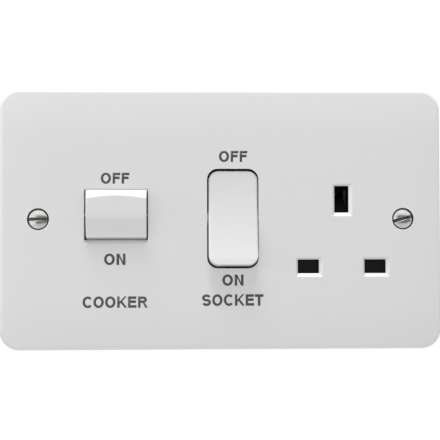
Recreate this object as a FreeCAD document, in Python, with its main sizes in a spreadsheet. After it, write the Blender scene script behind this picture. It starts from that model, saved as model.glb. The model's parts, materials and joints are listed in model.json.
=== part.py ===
"""Cooker control unit: a wall plate with a 45 A cooker switch, a socket switch and a 13 A socket outlet.

X runs to the right seen from the front, Z runs up and Y runs into the wall. Y = 0 is the face of the
wall, and the origin is the middle of the plate on it. Lengths are in millimetres, angles in degrees.
"""
import FreeCAD, Part
import math
import os
import Sketcher

document = FreeCAD.newDocument("cooker_control_unit")
sheet = document.addObject("Spreadsheet::Sheet", "sizes")

SIZES = {
    # front plate
    "plate_width": 146.0,
    "plate_height": 86.0,
    "plate_depth": 9.0,
    "plate_corner": 6.5,
    "plate_skin": 2.6,
    "plate_rim": 2.4,
    "crown_reach": 16.0,
    "crown_drop": 0.6,
    "edge_round": 1.3,
    # wall fixings
    "fixing_pitch": 120.6,
    "fixing_shank": 1.75,
    "fixing_neck": 1.5,
    "fixing_reach": 21.0,
    "fixing_clearance": 0.25,
    "fixing_head": 3.1,
    "fixing_cone": 1.3,
    "fixing_dome": 0.8,
    "fixing_sink": 0.55,
    "fixing_slot": 1.3,
    "fixing_recess": 3.6,
    "fixing_pillar": 4.8,
    "slot_width": 1.0,
    "slot_depth": 0.9,
    "left_slot_angle": 0.0,
    "right_slot_angle": 15.0,
    # both switches
    "pivot_depth": 3.0,
    "rocker_gap": 0.35,
    "rocker_wall": 1.6,
    "rocker_skirt": 1.2,
    "rocker_rim": 0.8,
    "trunnion_radius": 1.3,
    "bearing_clearance": 0.1,
    "cheek_thick": 2.0,
    "cheek_depth": 2.8,
    "cheek_half": 3.6,
    "retainer_gap": 0.2,
    "retainer_thick": 1.5,
    "barrel_radius": 2.6,
    "barrel_reach": 8.0,
    "plunger_radius": 1.65,
    "plunger_clearance": 0.1,
    "plunger_reach": 12.5,
    "plunger_length": 7.5,
    "arm_depth": 14.5,
    "arm_swing": 11.7,
    "arm_thick": 1.2,
    "arm_width": 4.4,
    "arm_saddle": 3.0,
    "arm_reach": 8.6,
    "arm_boss": 1.4,
    "arm_clearance": 0.35,
    "tip_reach": 7.0,
    "tip_radius": 1.5,
    "tip_height": 0.8,
    "tip_step": 0.32,
    "tip_face": 0.3,
    "tip_gap": 0.15,
    "spring_wire": 0.45,
    "spring_coil": 1.25,
    "spring_turns": 4.0,
    # cooker switch
    "cooker_x": 34.9,
    "cooker_z": 1.5,
    "cooker_width": 20.6,
    "cooker_half_height": 8.3,
    "cooker_bevel": 1.3,
    "cooker_corner": 0.8,
    "cooker_tilt": 13.5,
    "cooker_ridge": 6.27,
    "cooker_ridge_round": 7.0,
    "cooker_nose": 7.1,
    "cooker_pole": 6.0,
    # socket switch
    "switch_x": 3.75,
    "switch_z": 0.15,
    "switch_width": 17.0,
    "switch_half_height": 16.45,
    "switch_corner": 3.6,
    "switch_tilt": 6.5,
    "switch_end": 4.5,
    "switch_nose": 15.7,
    "switch_dish": 1.18,
    "switch_boss": 2.2,
    "switch_pole": 4.0,
    # socket outlet
    "socket_x": 39.6,
    "pin_row_z": 15.7,
    "pin_pitch": 22.23,
    "earth_rise": 22.23,
    "flat_slot_width": 6.95,
    "flat_slot_height": 4.45,
    "earth_slot_width": 4.6,
    "earth_slot_height": 8.75,
    "slot_bevel": 1.15,
    "slot_corner": 0.5,
    "earth_pin_length": 22.7,
    "jaw_gap": 2.05,
    "jaw_thick": 0.8,
    "jaw_half": 3.0,
    "earth_jaw_half": 3.5,
    "jaw_standoff": 2.4,
    "pin_standoff": 0.9,
    # shutter
    "shutter_gap": 0.2,
    "shutter_thick": 2.8,
    "shutter_lap": 0.85,
    "shutter_half": 15.5,
    "shutter_stem": 4.0,
    "shutter_window": 1.9,
    "shutter_window_height": 11.2,
    "shutter_post": 1.5,
    "shutter_post_drop": 9.5,
    "shutter_wedge_half": 2.0,
    "shutter_wedge_depth": 5.6,
    "shutter_play": 0.3,
    "rail_inner": 5.2,
    "rail_thick": 1.6,
    # strips and terminals
    "strip_thick": 1.2,
    "strip_half": 2.5,
    "cradle_depth": 1.9,
    "cradle_half": 2.3,
    "cradle_clearance": 0.12,
    "block_half": 5.0,
    "block_length": 11.0,
    "block_depth": 11.0,
    "block_gap": 0.3,
    "block_wall": 1.5,
    "cooker_block": 8.0,
    "bore_radius": 2.75,
    "bore_back": 5.4,
    "clamp_radius": 1.9,
    "clamp_clearance": 0.05,
    "clamp_lift": 0.3,
    "clamp_sink": 0.2,
    "earth_block_half": 10.0,
    "earth_block_shift": 3.0,
    "earth_bore_half": 5.0,
    "link_width": 4.6,
    "link_drop": 2.0,
    "link_gap": 1.2,
    "run_width": 3.6,
    "run_gap": 0.8,
    "run_rise": 2.4,
    # rear bases
    "base_top": 28.5,
    "base_bottom": 27.0,
    "base_wall": 2.0,
    "base_floor": 2.0,
    "floor_gap": 6.2,
    "cooker_bay": 16.6,
    "socket_bay": 15.8,
    "lug_edge": 52.0,
    "lug_drop": 9.5,
    "base_corner": 2.5,
    "base_seam": 0.1,
    "entry_clearance": 0.5,
    "access_clearance": 0.5,
    "slit_clearance": 0.3,
    # base screws
    "ear_half": 3.6,
    "ear_reach": 7.0,
    "ear_thick": 3.0,
    "boss_radius": 3.3,
    "boss_height": 3.0,
    "base_screw": 1.3,
    "base_screw_head": 2.6,
    "base_screw_rise": 1.6,
    "base_screw_bite": 3.8,
    "base_screw_clearance": 0.1,
}

for row, (alias, number) in enumerate(SIZES.items(), 1):
    sheet.set(f"A{row}", alias)
    sheet.set(f"B{row}", str(number))
    sheet.setAlias(f"B{row}", alias)
document.recompute()


class Size:
    """One size: its number now, and the expression that binds it to the sheet."""

    def __init__(self, value, text):
        self.value = value
        self.text = text

    def __add__(self, other):
        other = size(other)
        return Size(self.value + other.value, f"({self.text} + {other.text})")

    def __sub__(self, other):
        other = size(other)
        return Size(self.value - other.value, f"({self.text} - {other.text})")

    def __mul__(self, other):
        other = size(other)
        return Size(self.value * other.value, f"({self.text} * {other.text})")

    def __truediv__(self, other):
        other = size(other)
        return Size(self.value / other.value, f"({self.text} / {other.text})")

    def __neg__(self):
        return Size(-self.value, f"(-{self.text})")

    def __radd__(self, other):
        return size(other) + self

    def __rsub__(self, other):
        return size(other) - self

    def __rmul__(self, other):
        return size(other) * self


def size(number):
    """Takes a plain number as a size."""
    return number if isinstance(number, Size) else Size(float(number), f"({float(number)})")


def sin(angle):
    return Size(math.sin(math.radians(angle.value)), f"sin({angle.text})")


def cos(angle):
    return Size(math.cos(math.radians(angle.value)), f"cos({angle.text})")


def tan(angle):
    return Size(math.tan(math.radians(angle.value)), f"tan({angle.text})")


def root(square):
    return Size(math.sqrt(square.value), f"sqrt({square.text})")


class Sheet:
    """Gives each named size of the sheet as an attribute."""

    def __getattr__(self, alias):
        return Size(SIZES[alias], f"sizes.{alias}")


s = Sheet()

PLANES = {"XZ": ("XZ_Plane", -1), "YZ": ("YZ_Plane", 1), "XY": ("XY_Plane", 1)}
nodes = []


def new_body(label, node=True):
    """A new piece. Pieces that are files of their own go in the list of nodes."""
    body = document.addObject("PartDesign::Body", label)
    body.Label = label
    if node:
        nodes.append(body)
    return body


def place(body, x, y, z, angle=0, axis=(1, 0, 0)):
    """Moves a finished piece to a point and turns it about an axis through that point."""
    x, y, z, angle = size(x), size(y), size(z), size(angle)
    turn = FreeCAD.Rotation(FreeCAD.Vector(*axis), angle.value)
    body.Placement = FreeCAD.Placement(FreeCAD.Vector(x.value, y.value, z.value), turn)
    body.setExpression("Placement.Base.x", x.text)
    body.setExpression("Placement.Base.y", y.text)
    body.setExpression("Placement.Base.z", z.text)
    if angle.value:
        body.setExpression("Placement.Rotation.Angle", angle.text)


def sketch(body, plane, level=0, shift=0):
    """A sketch on one of the three planes of a piece, at a level along the plane's axis."""
    role, sign = PLANES[plane]
    base = [item for item in body.Origin.OriginFeatures if item.Role == role][0]
    draft = body.newObject("Sketcher::SketchObject", "Sketch")
    draft.AttachmentSupport = [(base, "")]
    draft.MapMode = "FlatFace"
    draft.setExpression("AttachmentOffset.Base.z", (size(level) * sign).text)
    draft.setExpression("AttachmentOffset.Base.x", size(shift).text)
    return draft


def arc_between(start, end, radius, turn):
    """The shorter arc of a radius from start to end; turn is 1 against the clock and -1 with it."""
    middle = (start + end) * 0.5
    chord = end - start
    left = FreeCAD.Vector(-chord.y, chord.x, 0).normalize()
    centre = middle + left * (turn * math.sqrt(max(radius ** 2 - (chord.Length / 2) ** 2, 0)))
    first, last = (start, end) if turn > 0 else (end, start)
    angles = [math.atan2(point.y - centre.y, point.x - centre.x) for point in (first, last)]
    if angles[1] < angles[0]:
        angles[1] += 2 * math.pi
    circle = Part.Circle(centre, FreeCAD.Vector(0, 0, 1), radius)
    return Part.ArcOfCircle(circle, angles[0], angles[1])


def outline(draft, corners, closed=True):
    """Draws an outline. A corner is (a, b), or (a, b, radius, turn) where an arc leads on."""
    corners = [tuple(size(value) for value in corner[:3]) + tuple(corner[3:]) for corner in corners]
    points = [FreeCAD.Vector(corner[0].value, corner[1].value, 0) for corner in corners]
    count = len(corners)
    ends = []
    edges = []
    for i, corner in enumerate(corners if closed else corners[:-1]):
        start, end = points[i], points[(i + 1) % count]
        if len(corner) == 4:
            edge = arc_between(start, end, corner[2].value, corner[3])
            ends.append((1, 2) if corner[3] > 0 else (2, 1))
        else:
            edge = Part.LineSegment(start, end)
            ends.append((1, 2))
        edges.append(draft.addGeometry(edge, False))
    for i in range(count if closed else count - 2):
        after = (i + 1) % count
        joint = Sketcher.Constraint("Coincident", edges[i], ends[i][1], edges[after], ends[after][0])
        draft.addConstraint(joint)
    for i, corner in enumerate(corners):
        for kind, value in (("DistanceX", corner[0]), ("DistanceY", corner[1])):
            edge, end = (edges[i], ends[i][0]) if i < len(edges) else (edges[-1], ends[-1][1])
            place_of = Sketcher.Constraint(kind, -1, 1, edge, end, value.value)
            draft.setExpression(f"Constraints[{draft.addConstraint(place_of)}]", value.text)
        if len(corner) == 4:
            bend = Sketcher.Constraint("Radius", edges[i], corner[2].value)
            draft.setExpression(f"Constraints[{draft.addConstraint(bend)}]", corner[2].text)
    return draft


def box(a, b):
    """The corners of a rectangle over two spans."""
    return [(a[0], b[0]), (a[1], b[0]), (a[1], b[1]), (a[0], b[1])]


def rounded(a, b, radius):
    """The corners of a rectangle over two spans with rounded corners."""
    a0, a1, b0, b1, r = size(a[0]), size(a[1]), size(b[0]), size(b[1]), size(radius)
    return [
        (a0 + r, b0), (a1 - r, b0, r, 1), (a1, b0 + r), (a1, b1 - r, r, 1),
        (a1 - r, b1), (a0 + r, b1, r, 1), (a0, b1 - r), (a0, b0 + r, r, 1),
    ]


def circle(draft, a, b, radius):
    """Draws a circle."""
    a, b, radius = size(a), size(b), size(radius)
    ring = Part.Circle(FreeCAD.Vector(a.value, b.value, 0), FreeCAD.Vector(0, 0, 1), radius.value)
    edge = draft.addGeometry(ring, False)
    for kind, value in (("DistanceX", a), ("DistanceY", b)):
        place_of = Sketcher.Constraint(kind, -1, 1, edge, 3, value.value)
        draft.setExpression(f"Constraints[{draft.addConstraint(place_of)}]", value.text)
    bend = Sketcher.Constraint("Radius", edge, radius.value)
    draft.setExpression(f"Constraints[{draft.addConstraint(bend)}]", radius.text)
    return draft


def extrude(body, kind, draft, length, reverse=False):
    """Pads or pockets a sketch by a length."""
    feature = body.newObject(f"PartDesign::{kind}", kind)
    feature.Profile = draft
    feature.Reversed = reverse
    feature.setExpression("Length", size(length).text)
    draft.Visibility = False
    return feature


# The level a pad starts from and the level a pocket starts from: each runs over the whole span.
PAD_FROM = {"XZ": 1, "YZ": 0, "XY": 0}


def draw(draft, shapes):
    """Draws shapes in one sketch: each is a list of corners, or a circle as (a, b, radius)."""
    for shape in shapes:
        if isinstance(shape, tuple):
            circle(draft, *shape)
        else:
            outline(draft, shape)
    return draft


def add(body, plane, shapes, span):
    """Adds shapes over a span of levels."""
    draft = draw(sketch(body, plane, span[PAD_FROM[plane]]), shapes)
    return extrude(body, "Pad", draft, size(span[1]) - span[0])


def cut(body, plane, shapes, span):
    """Cuts shapes out over a span of levels."""
    draft = draw(sketch(body, plane, span[1 - PAD_FROM[plane]]), shapes)
    return extrude(body, "Pocket", draft, size(span[1]) - span[0])


def add_block(body, x, y, z):
    return add(body, "XZ", [box(x, z)], y)


def cut_block(body, x, y, z):
    return cut(body, "XZ", [box(x, z)], y)


def spin(body, kind, corners, level=0, shift=0):
    """Turns an outline of (radius, height) about an upright axis of the XY plane."""
    draft = outline(sketch(body, "XY", level, shift), corners)
    feature = body.newObject(f"PartDesign::{kind}", kind)
    feature.Profile = draft
    feature.ReferenceAxis = (draft, ["V_Axis"])
    feature.Angle = 360
    draft.Visibility = False
    return feature


def soften(body, kind, amount, keep):
    """Rounds or bevels the edges that a test picks."""
    document.recompute()
    base = body.Tip
    names = [f"Edge{i}" for i, edge in enumerate(base.Shape.Edges, 1) if keep(edge)]
    feature = body.newObject(f"PartDesign::{kind}", kind)
    feature.Base = (base, names)
    feature.setExpression("Radius" if kind == "Fillet" else "Size", size(amount).text)
    return feature


def around(middle, half):
    """The span of a half width on both sides of a middle."""
    return (size(middle) - half, size(middle) + half)


def group(label, bodies):
    """Gathers like pieces in one node."""
    compound = document.addObject("Part::Compound", label)
    compound.Label = label
    compound.Links = bodies
    nodes.append(compound)


def middle_of(edge):
    return edge.valueAt((edge.FirstParameter + edge.LastParameter) / 2)


# How near two levels are that count as one, and how straight an edge is that counts as along an axis.
NEAR = 0.01
ALONG = 0.9

# Levels along Y, from the front of the plate to the back of the base.
front = -s.plate_depth
skin_back = front + s.plate_skin
pivot_y = front + s.pivot_depth
arm_y = pivot_y + s.arm_depth
strip_y = arm_y + s.cradle_depth
strip_back = strip_y + s.strip_thick
floor_y = strip_back + s.floor_gap
base_back = floor_y + s.base_floor
shutter_y = (skin_back + s.shutter_gap, skin_back + s.shutter_gap + s.shutter_thick)
cheek_back = skin_back + s.cheek_depth
block_y = floor_y - s.block_depth
bore_y = floor_y - s.bore_back
ear_y = (skin_back + s.boss_height, skin_back + s.boss_height + s.ear_thick)

# Places seen from the front.
cooker_x = -s.cooker_x
cooker_z = s.cooker_z
switch_x = s.switch_x
switch_z = s.switch_z
socket_x = s.socket_x
pin_z = -s.pin_row_z
earth_z = pin_z + s.earth_rise
neutral_pin_x = socket_x - s.pin_pitch / 2
line_pin_x = socket_x + s.pin_pitch / 2
base_left = cooker_x - s.cooker_bay - s.base_wall
cooker_wall = (cooker_x + s.cooker_bay, cooker_x + s.cooker_bay + s.base_wall)
socket_wall = (socket_x - s.socket_bay - s.base_wall, socket_x - s.socket_bay)
base_right = socket_x + s.socket_bay + s.base_wall
top_inner = s.base_top - s.base_wall
bottom_inner = s.base_wall - s.base_bottom
top_block = (top_inner - s.block_gap - s.block_length, top_inner - s.block_gap)
bottom_block = (bottom_inner + s.block_gap, bottom_inner + s.block_gap + s.block_length)
ear_top_z = s.base_top + s.ear_half
ear_bottom_z = -s.base_bottom - s.ear_half
ears = [
    (cooker_x, ear_top_z, 1), (switch_x, ear_top_z, 1), (socket_x, ear_top_z, 1),
    (cooker_x, ear_bottom_z, -1), (switch_x, ear_bottom_z, -1), (socket_x, ear_bottom_z, -1),
]
cooker_blocks = {"line": cooker_x + s.cooker_block, "neutral": cooker_x - s.cooker_block}
earth_block_x = socket_x - s.earth_block_shift
earth_bores = [earth_block_x - s.earth_bore_half, earth_block_x + s.earth_bore_half]

# The two switches. Each opening is a span in X and a span in Z round its pivot.
cooker_open = (around(cooker_x, s.cooker_width / 2), around(cooker_z, s.cooker_half_height))
switch_open = (around(switch_x, s.switch_width / 2), around(switch_z, s.switch_half_height))
switches = [
    (cooker_x, cooker_z, s.cooker_width / 2),
    (switch_x, switch_z, s.switch_width / 2),
]

# Front plate: a crowned block, hollowed from behind.
plate = new_body("front_plate")
half_width = s.plate_width / 2
half_height = s.plate_height / 2
full_x = (-half_width, half_width)
full_z = (-half_height, half_height)
over = s.plate_rim
add(plate, "XZ", [rounded(full_x, full_z, s.plate_corner)], (front - over, 0))

# The crown: one bowed profile carried along another, so that all four borders fall away.
crown = (s.crown_reach * s.crown_reach + s.crown_drop * s.crown_drop) / (2 * s.crown_drop)
past = s.crown_reach + over
fall = crown - root(crown * crown - past * past)
start_y = front + fall
ahead = front - over * 2
flat_x, end_x = half_width - s.crown_reach, half_width + over
flat_z, end_z = half_height - s.crown_reach, half_height + over
bow = outline(sketch(plate, "YZ", -end_x), [
    (start_y, -flat_z), (start_y, flat_z, crown, -1), (start_y + fall, end_z), (ahead, end_z),
    (ahead, -end_z), (start_y + fall, -end_z, crown, -1),
])
spine = outline(sketch(plate, "XY"), [
    (-end_x, start_y, crown, 1), (-flat_x, front), (flat_x, front, crown, 1), (end_x, start_y),
], closed=False)
crowning = plate.newObject("PartDesign::SubtractivePipe", "Crown")
crowning.Profile = bow
crowning.Spine = (spine, ["Edge1", "Edge2", "Edge3"])
crowning.Mode = "Fixed"
bow.Visibility = False
spine.Visibility = False


def on_front_rim(edge):
    """True for the edges where the crowned face meets the sides of the plate."""
    point = middle_of(edge)
    across = abs(edge.tangentAt(edge.FirstParameter).y) < ALONG
    past_x = abs(point.x) - (half_width - s.plate_corner).value
    past_z = abs(point.z) - (half_height - s.plate_corner).value
    outside = max(past_x, past_z) > s.plate_corner.value - NEAR
    if past_x > 0 and past_z > 0:
        outside = math.hypot(past_x, past_z) > s.plate_corner.value - NEAR
    return across and outside and point.y < skin_back.value


soften(plate, "Fillet", s.edge_round, on_front_rim)
inner_x = (s.plate_rim - half_width, half_width - s.plate_rim)
inner_z = (s.plate_rim - half_height, half_height - s.plate_rim)
cut(plate, "XZ", [rounded(inner_x, inner_z, s.plate_corner - s.plate_rim)], (skin_back, 0))
fixing_x = [-s.fixing_pitch / 2, s.fixing_pitch / 2]
add(plate, "XZ", [(x, 0, s.fixing_pillar) for x in fixing_x], (skin_back, 0))
cheeks = []
for x, z, half in switches:
    cheeks.append(((x + half, x + half + s.cheek_thick), z))
    cheeks.append(((x - half - s.cheek_thick, x - half), z))
add(plate, "XZ", [box(span, around(z, s.cheek_half)) for span, z in cheeks], (skin_back, cheek_back))
add(plate, "XZ", [(x, z, s.boss_radius) for x, z, side in ears], (skin_back, ear_y[0]))

flat_half = (s.flat_slot_width / 2, s.flat_slot_height / 2)
earth_half = (s.earth_slot_width / 2, s.earth_slot_height / 2)
slots = [
    (around(neutral_pin_x, flat_half[0]), around(pin_z, flat_half[1])),
    (around(line_pin_x, flat_half[0]), around(pin_z, flat_half[1])),
    (around(socket_x, earth_half[0]), around(earth_z, earth_half[1])),
]
openings = [rounded(*cooker_open, s.cooker_corner), rounded(*switch_open, s.switch_corner)]
openings += [rounded(*slot, s.slot_corner) for slot in slots]
cut(plate, "XZ", openings, (front - s.plate_skin, skin_back))
bearing = s.trunnion_radius + s.bearing_clearance
for span, z in cheeks:
    cut(plate, "YZ", [(pivot_y, z, bearing)], span)
cut(plate, "XZ", [box(span, around(z, bearing)) for span, z in cheeks], (pivot_y, cheek_back))
head_top = front + s.fixing_sink
seat = head_top + s.fixing_cone
hole = s.fixing_shank + s.fixing_clearance
for x in fixing_x:
    recess = [
        (0, front - s.plate_skin), (s.fixing_recess, front - s.plate_skin),
        (s.fixing_recess, head_top), (s.fixing_head + s.fixing_clearance, head_top), (hole, seat),
        (hole, 0), (0, 0),
    ]
    spin(plate, "Groove", recess, 0, x)
bite = ear_y[0] - s.base_screw_bite
pilot = s.base_screw + s.base_screw_clearance
cut(plate, "XZ", [(x, z, pilot) for x, z, side in ears], (bite, ear_y[0]))


def on_opening(spans, edge):
    """True for the front edges of an opening given by its spans in X and Z."""
    point = middle_of(edge)
    level = abs(point.y - front.value) < NEAR
    level = level and all(abs(vertex.Point.y - front.value) < NEAR for vertex in edge.Vertexes)
    inside_x = spans[0][0].value - NEAR < point.x < spans[0][1].value + NEAR
    return level and inside_x and spans[1][0].value - NEAR < point.z < spans[1][1].value + NEAR


bevel_back = front + s.cooker_bevel
low, high = cooker_open[1]
bevels = [
    [(front, low - s.cooker_bevel), (bevel_back, low), (front, low)],
    [(front, high), (bevel_back, high), (front, high + s.cooker_bevel)],
]
cut(plate, "YZ", bevels, cooker_open[0])
soften(plate, "Chamfer", s.slot_bevel, lambda edge: any(on_opening(spans, edge) for spans in slots))


def finish_rocker(body, half, nose, roof, poles):
    """Adds what both rockers have: hollow back, plunger barrels and trunnions."""
    hollow = (half - s.rocker_wall, nose - s.rocker_wall)
    draft = outline(sketch(body, "XZ", s.rocker_skirt), box(around(0, hollow[0]), around(0, hollow[1])))
    extrude(body, "Pocket", draft, s.rocker_skirt + roof, True)
    add(body, "XZ", [(x, 0, s.barrel_radius) for x in poles], (-roof - s.rocker_wall / 4, s.barrel_reach))
    bore = s.plunger_radius + s.plunger_clearance
    draft = draw(sketch(body, "XZ", s.barrel_reach), [(x, 0, bore) for x in poles])
    extrude(body, "Pocket", draft, s.barrel_reach + roof, True)
    pin = half + s.rocker_gap + s.cheek_thick - s.retainer_gap
    add(body, "YZ", [(0, 0, s.trunnion_radius)], (half - s.rocker_wall, pin))
    add(body, "YZ", [(0, 0, s.trunnion_radius)], (-pin, s.rocker_wall - half))


# Cooker rocker: two flat faces that meet in a rounded ridge. Its own origin is its pivot.
cooker_half = s.cooker_width / 2 - s.rocker_gap
cooker_end = s.cooker_half_height - s.rocker_gap
nose_y = s.cooker_nose * tan(s.cooker_tilt) - s.cooker_ridge
rocker = new_body("cooker_rocker")
roof_profile = [
    (s.rocker_skirt, -cooker_end), (s.rocker_skirt, cooker_end), (-s.rocker_skirt / 2, cooker_end),
    (nose_y, s.cooker_nose), (-s.cooker_ridge, 0), (nose_y, -s.cooker_nose),
    (-s.rocker_skirt / 2, -cooker_end),
]
add(rocker, "YZ", [roof_profile], around(0, cooker_half))
soften(rocker, "Fillet", s.cooker_ridge_round, lambda edge: abs(middle_of(edge).z) < NEAR
       and middle_of(edge).y < nose_y.value)
soften(rocker, "Fillet", s.rocker_rim,
       lambda edge: middle_of(edge).y < (nose_y + s.rocker_rim / 2).value and abs(middle_of(edge).z) > NEAR
       or abs(abs(middle_of(edge).x) - cooker_half.value) < NEAR and middle_of(edge).y < nose_y.value)
cooker_roof = -nose_y - s.rocker_wall
finish_rocker(rocker, cooker_half, s.cooker_nose, cooker_roof, (-s.cooker_pole, s.cooker_pole))
place(rocker, cooker_x, pivot_y, cooker_z, s.cooker_tilt)

# Socket rocker: one dished face between two high ends.
switch_half = s.switch_width / 2 - s.rocker_gap
switch_reach = s.switch_half_height - s.rocker_gap
dish = (s.switch_nose * s.switch_nose + s.switch_dish * s.switch_dish) / (2 * s.switch_dish)
paddle = new_body("socket_rocker")
dish_profile = [
    (s.rocker_skirt, -switch_reach), (s.rocker_skirt, switch_reach), (-s.rocker_skirt / 2, switch_reach),
    (-s.switch_end, s.switch_nose, dish, -1), (-s.switch_end, -s.switch_nose),
    (-s.rocker_skirt / 2, -switch_reach),
]
add(paddle, "YZ", [dish_profile], around(0, switch_half))
soften(paddle, "Fillet", s.switch_corner - s.rocker_gap,
       lambda edge: abs(abs(middle_of(edge).x) - switch_half.value) < NEAR
       and abs(middle_of(edge).z) > s.switch_nose.value - NEAR
       and abs(edge.tangentAt(edge.FirstParameter).y) > ALONG)
soften(paddle, "Fillet", s.rocker_rim,
       lambda edge: middle_of(edge).y < (s.switch_dish - s.switch_end).value + NEAR
       and abs(edge.tangentAt(edge.FirstParameter).y) < ALONG)
switch_roof = s.switch_end - s.switch_dish - s.rocker_wall
switch_poles = (-s.switch_pole, s.switch_pole)
finish_rocker(paddle, switch_half, s.switch_nose - s.rocker_wall, switch_roof, switch_poles)
shoulder = switch_half + s.rocker_gap - s.bearing_clearance
add(paddle, "YZ", [(0, 0, s.switch_boss)], (switch_half - s.rocker_wall / 2, shoulder))
add(paddle, "YZ", [(0, 0, s.switch_boss)], (-shoulder, s.rocker_wall / 2 - switch_half))
place(paddle, switch_x, pivot_y, switch_z, -s.switch_tilt)


def fixing_screw():
    """A raised countersunk screw along Y, with a slot, a plain neck in the plate and a thread behind it."""
    body = new_body("fixing_screw", node=False)
    head, dome = s.fixing_head, s.fixing_dome
    arch = (head * head + dome * dome) / (2 * dome)
    crest = head_top - dome
    spin(body, "Revolution", [
        (0, crest, arch, 1), (head, head_top), (s.fixing_neck, seat), (s.fixing_neck, 0),
        (s.fixing_shank, 0), (s.fixing_shank, s.fixing_reach), (0, s.fixing_reach),
    ])
    cut_block(body, around(0, head), (crest, crest + s.fixing_slot), around(0, s.slot_width / 2))
    return body


fixings = []
for side, angle in ((-1, s.left_slot_angle), (1, s.right_slot_angle)):
    fixing = fixing_screw()
    place(fixing, side * s.fixing_pitch / 2, 0, 0, -angle, (0, 1, 0))
    fixings.append(fixing)
group("fixing_screws", fixings)


def coil(label, span, place_at, angle):
    """A coil spring along Y from one level to another."""
    body = new_body(label)
    draft = sketch(body, "XY")
    half = s.spring_wire / 2
    outline(draft, box(around(s.spring_coil, half), (span[0], span[0] + s.spring_wire)))
    feature = body.newObject("PartDesign::AdditiveHelix", "Coil")
    feature.Profile = draft
    feature.ReferenceAxis = (draft, ["V_Axis"])
    feature.Mode = 1
    length = size(span[1]) - span[0] - s.spring_wire
    feature.setExpression("Pitch", (length / s.spring_turns).text)
    feature.setExpression("Turns", s.spring_turns.text)
    draft.Visibility = False
    place(body, *place_at, angle)
    return body


def switch_works(name, x, z, tilt, roof, poles):
    """The plungers, springs, arms and tips of one switch. Arms rock against the rocker."""
    swing = s.arm_swing if tilt.value > 0 else -s.arm_swing
    ball = s.plunger_reach - s.plunger_radius
    # Path of the plunger's ball seen from the arm, from mid travel to one end.
    drop = ball * cos(tilt) - s.arm_depth
    lift = ball * sin(tilt)
    path_y = drop * cos(swing) - lift * sin(swing) - (ball - s.arm_depth)
    path_z = drop * sin(swing) + lift * cos(swing)
    slope = path_y / path_z
    if tilt.value < 0:
        slope = -slope
    stretch = root(path_y * path_y + path_z * path_z) / root(path_z * path_z)
    valley = ball - s.arm_depth + (s.plunger_radius + s.arm_clearance) * stretch
    crest = valley + slope * s.arm_saddle
    rear = (s.cradle_depth - s.tip_height - s.tip_gap - s.tip_reach * sin(s.arm_swing)) / cos(s.arm_swing)
    flat = rear - s.tip_height - s.arm_thick
    knee = s.arm_saddle + s.arm_thick
    half_arm = [(crest, s.arm_saddle), (flat, knee), (flat, s.arm_reach), (flat + s.arm_thick, s.arm_reach),
                (flat + s.arm_thick, knee), (crest + s.arm_thick, s.arm_saddle)]
    profile = [(valley, 0)] + half_arm + [(valley + s.arm_thick, 0)]
    profile += [(a, -b) for a, b in reversed(half_arm)]
    for pole, offset in poles.items():
        plunger = new_body(f"{name}_plunger_{pole}")
        tail = s.plunger_reach - s.plunger_length
        spin(plunger, "Revolution", [
            (0, tail), (s.plunger_radius, tail), (s.plunger_radius, ball, s.plunger_radius, 1),
            (0, s.plunger_reach),
        ])
        along = x + offset
        place(plunger, along, pivot_y, z, tilt)
        spring_span = (-roof, tail)
        coil(f"{name}_spring_{pole}", spring_span, (along, pivot_y, z), tilt)
        arm = new_body(f"{name}_arm_{pole}")
        add(arm, "YZ", [profile], around(0, s.arm_width / 2))
        add(arm, "YZ", [(0, 0, s.arm_boss)], around(0, s.arm_width / 2))
        place(arm, along, arm_y, z, -swing)
        tip = new_body(f"{name}_tip_{pole}")
        spin(tip, "Revolution", tip_profile(flat + s.arm_thick, 1))
        place(tip, along, arm_y + s.tip_reach * sin(swing), z + s.tip_reach * cos(swing), -swing)


def tip_profile(level, way):
    """Half the outline of a contact tip that stands on a level and points along Y or back."""
    return [
        (0, level), (s.tip_radius, level), (s.tip_radius, level + way * s.tip_step),
        (s.tip_face, level + way * s.tip_height), (0, level + way * s.tip_height),
    ]


switch_works("cooker", cooker_x, cooker_z, s.cooker_tilt, cooker_roof,
             {"line": s.cooker_pole, "neutral": -s.cooker_pole})
switch_works("socket", switch_x, switch_z, -s.switch_tilt, switch_roof,
             {"line": -s.switch_pole, "neutral": s.switch_pole})

# Where an arm's tip lands when its switch is on: the fixed tips stand there.
landing = s.tip_reach * cos(s.arm_swing)
fixed = []
for x, z in (
    (cooker_x + s.cooker_pole, cooker_z), (cooker_x - s.cooker_pole, cooker_z),
    (switch_x - s.switch_pole, switch_z), (switch_x + s.switch_pole, switch_z),
):
    stud = new_body("fixed_tip", node=False)
    spin(stud, "Revolution", tip_profile(0, -1))
    place(stud, x, strip_y, z + landing)
    fixed.append(stud)
group("fixed_tips", fixed)


def terminal(body, x, half, z, bores, mouth):
    """A terminal block with blind wire bores from its mouth end and a threaded hole behind each."""
    add_block(body, around(x, half), (block_y, floor_y), z)
    middle = (z[0] + z[1]) / 2
    deep = (z[0] + s.block_wall, z[1]) if mouth > 0 else (z[0], z[1] - s.block_wall)
    cut(body, "XY", [(bore, bore_y, s.bore_radius) for bore in bores], deep)
    thread = s.clamp_radius + s.clamp_clearance
    cut(body, "XZ", [(bore, middle, thread) for bore in bores], (bore_y, floor_y))


def cradle(body, x, z):
    """A half-round seat for an arm, standing on its strip."""
    add_block(body, around(x, s.strip_half), (arm_y, strip_back), around(z, s.cradle_half))
    groove = s.arm_boss + s.cradle_clearance
    cut(body, "YZ", [(arm_y, z, groove)], around(x, s.strip_half))


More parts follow.
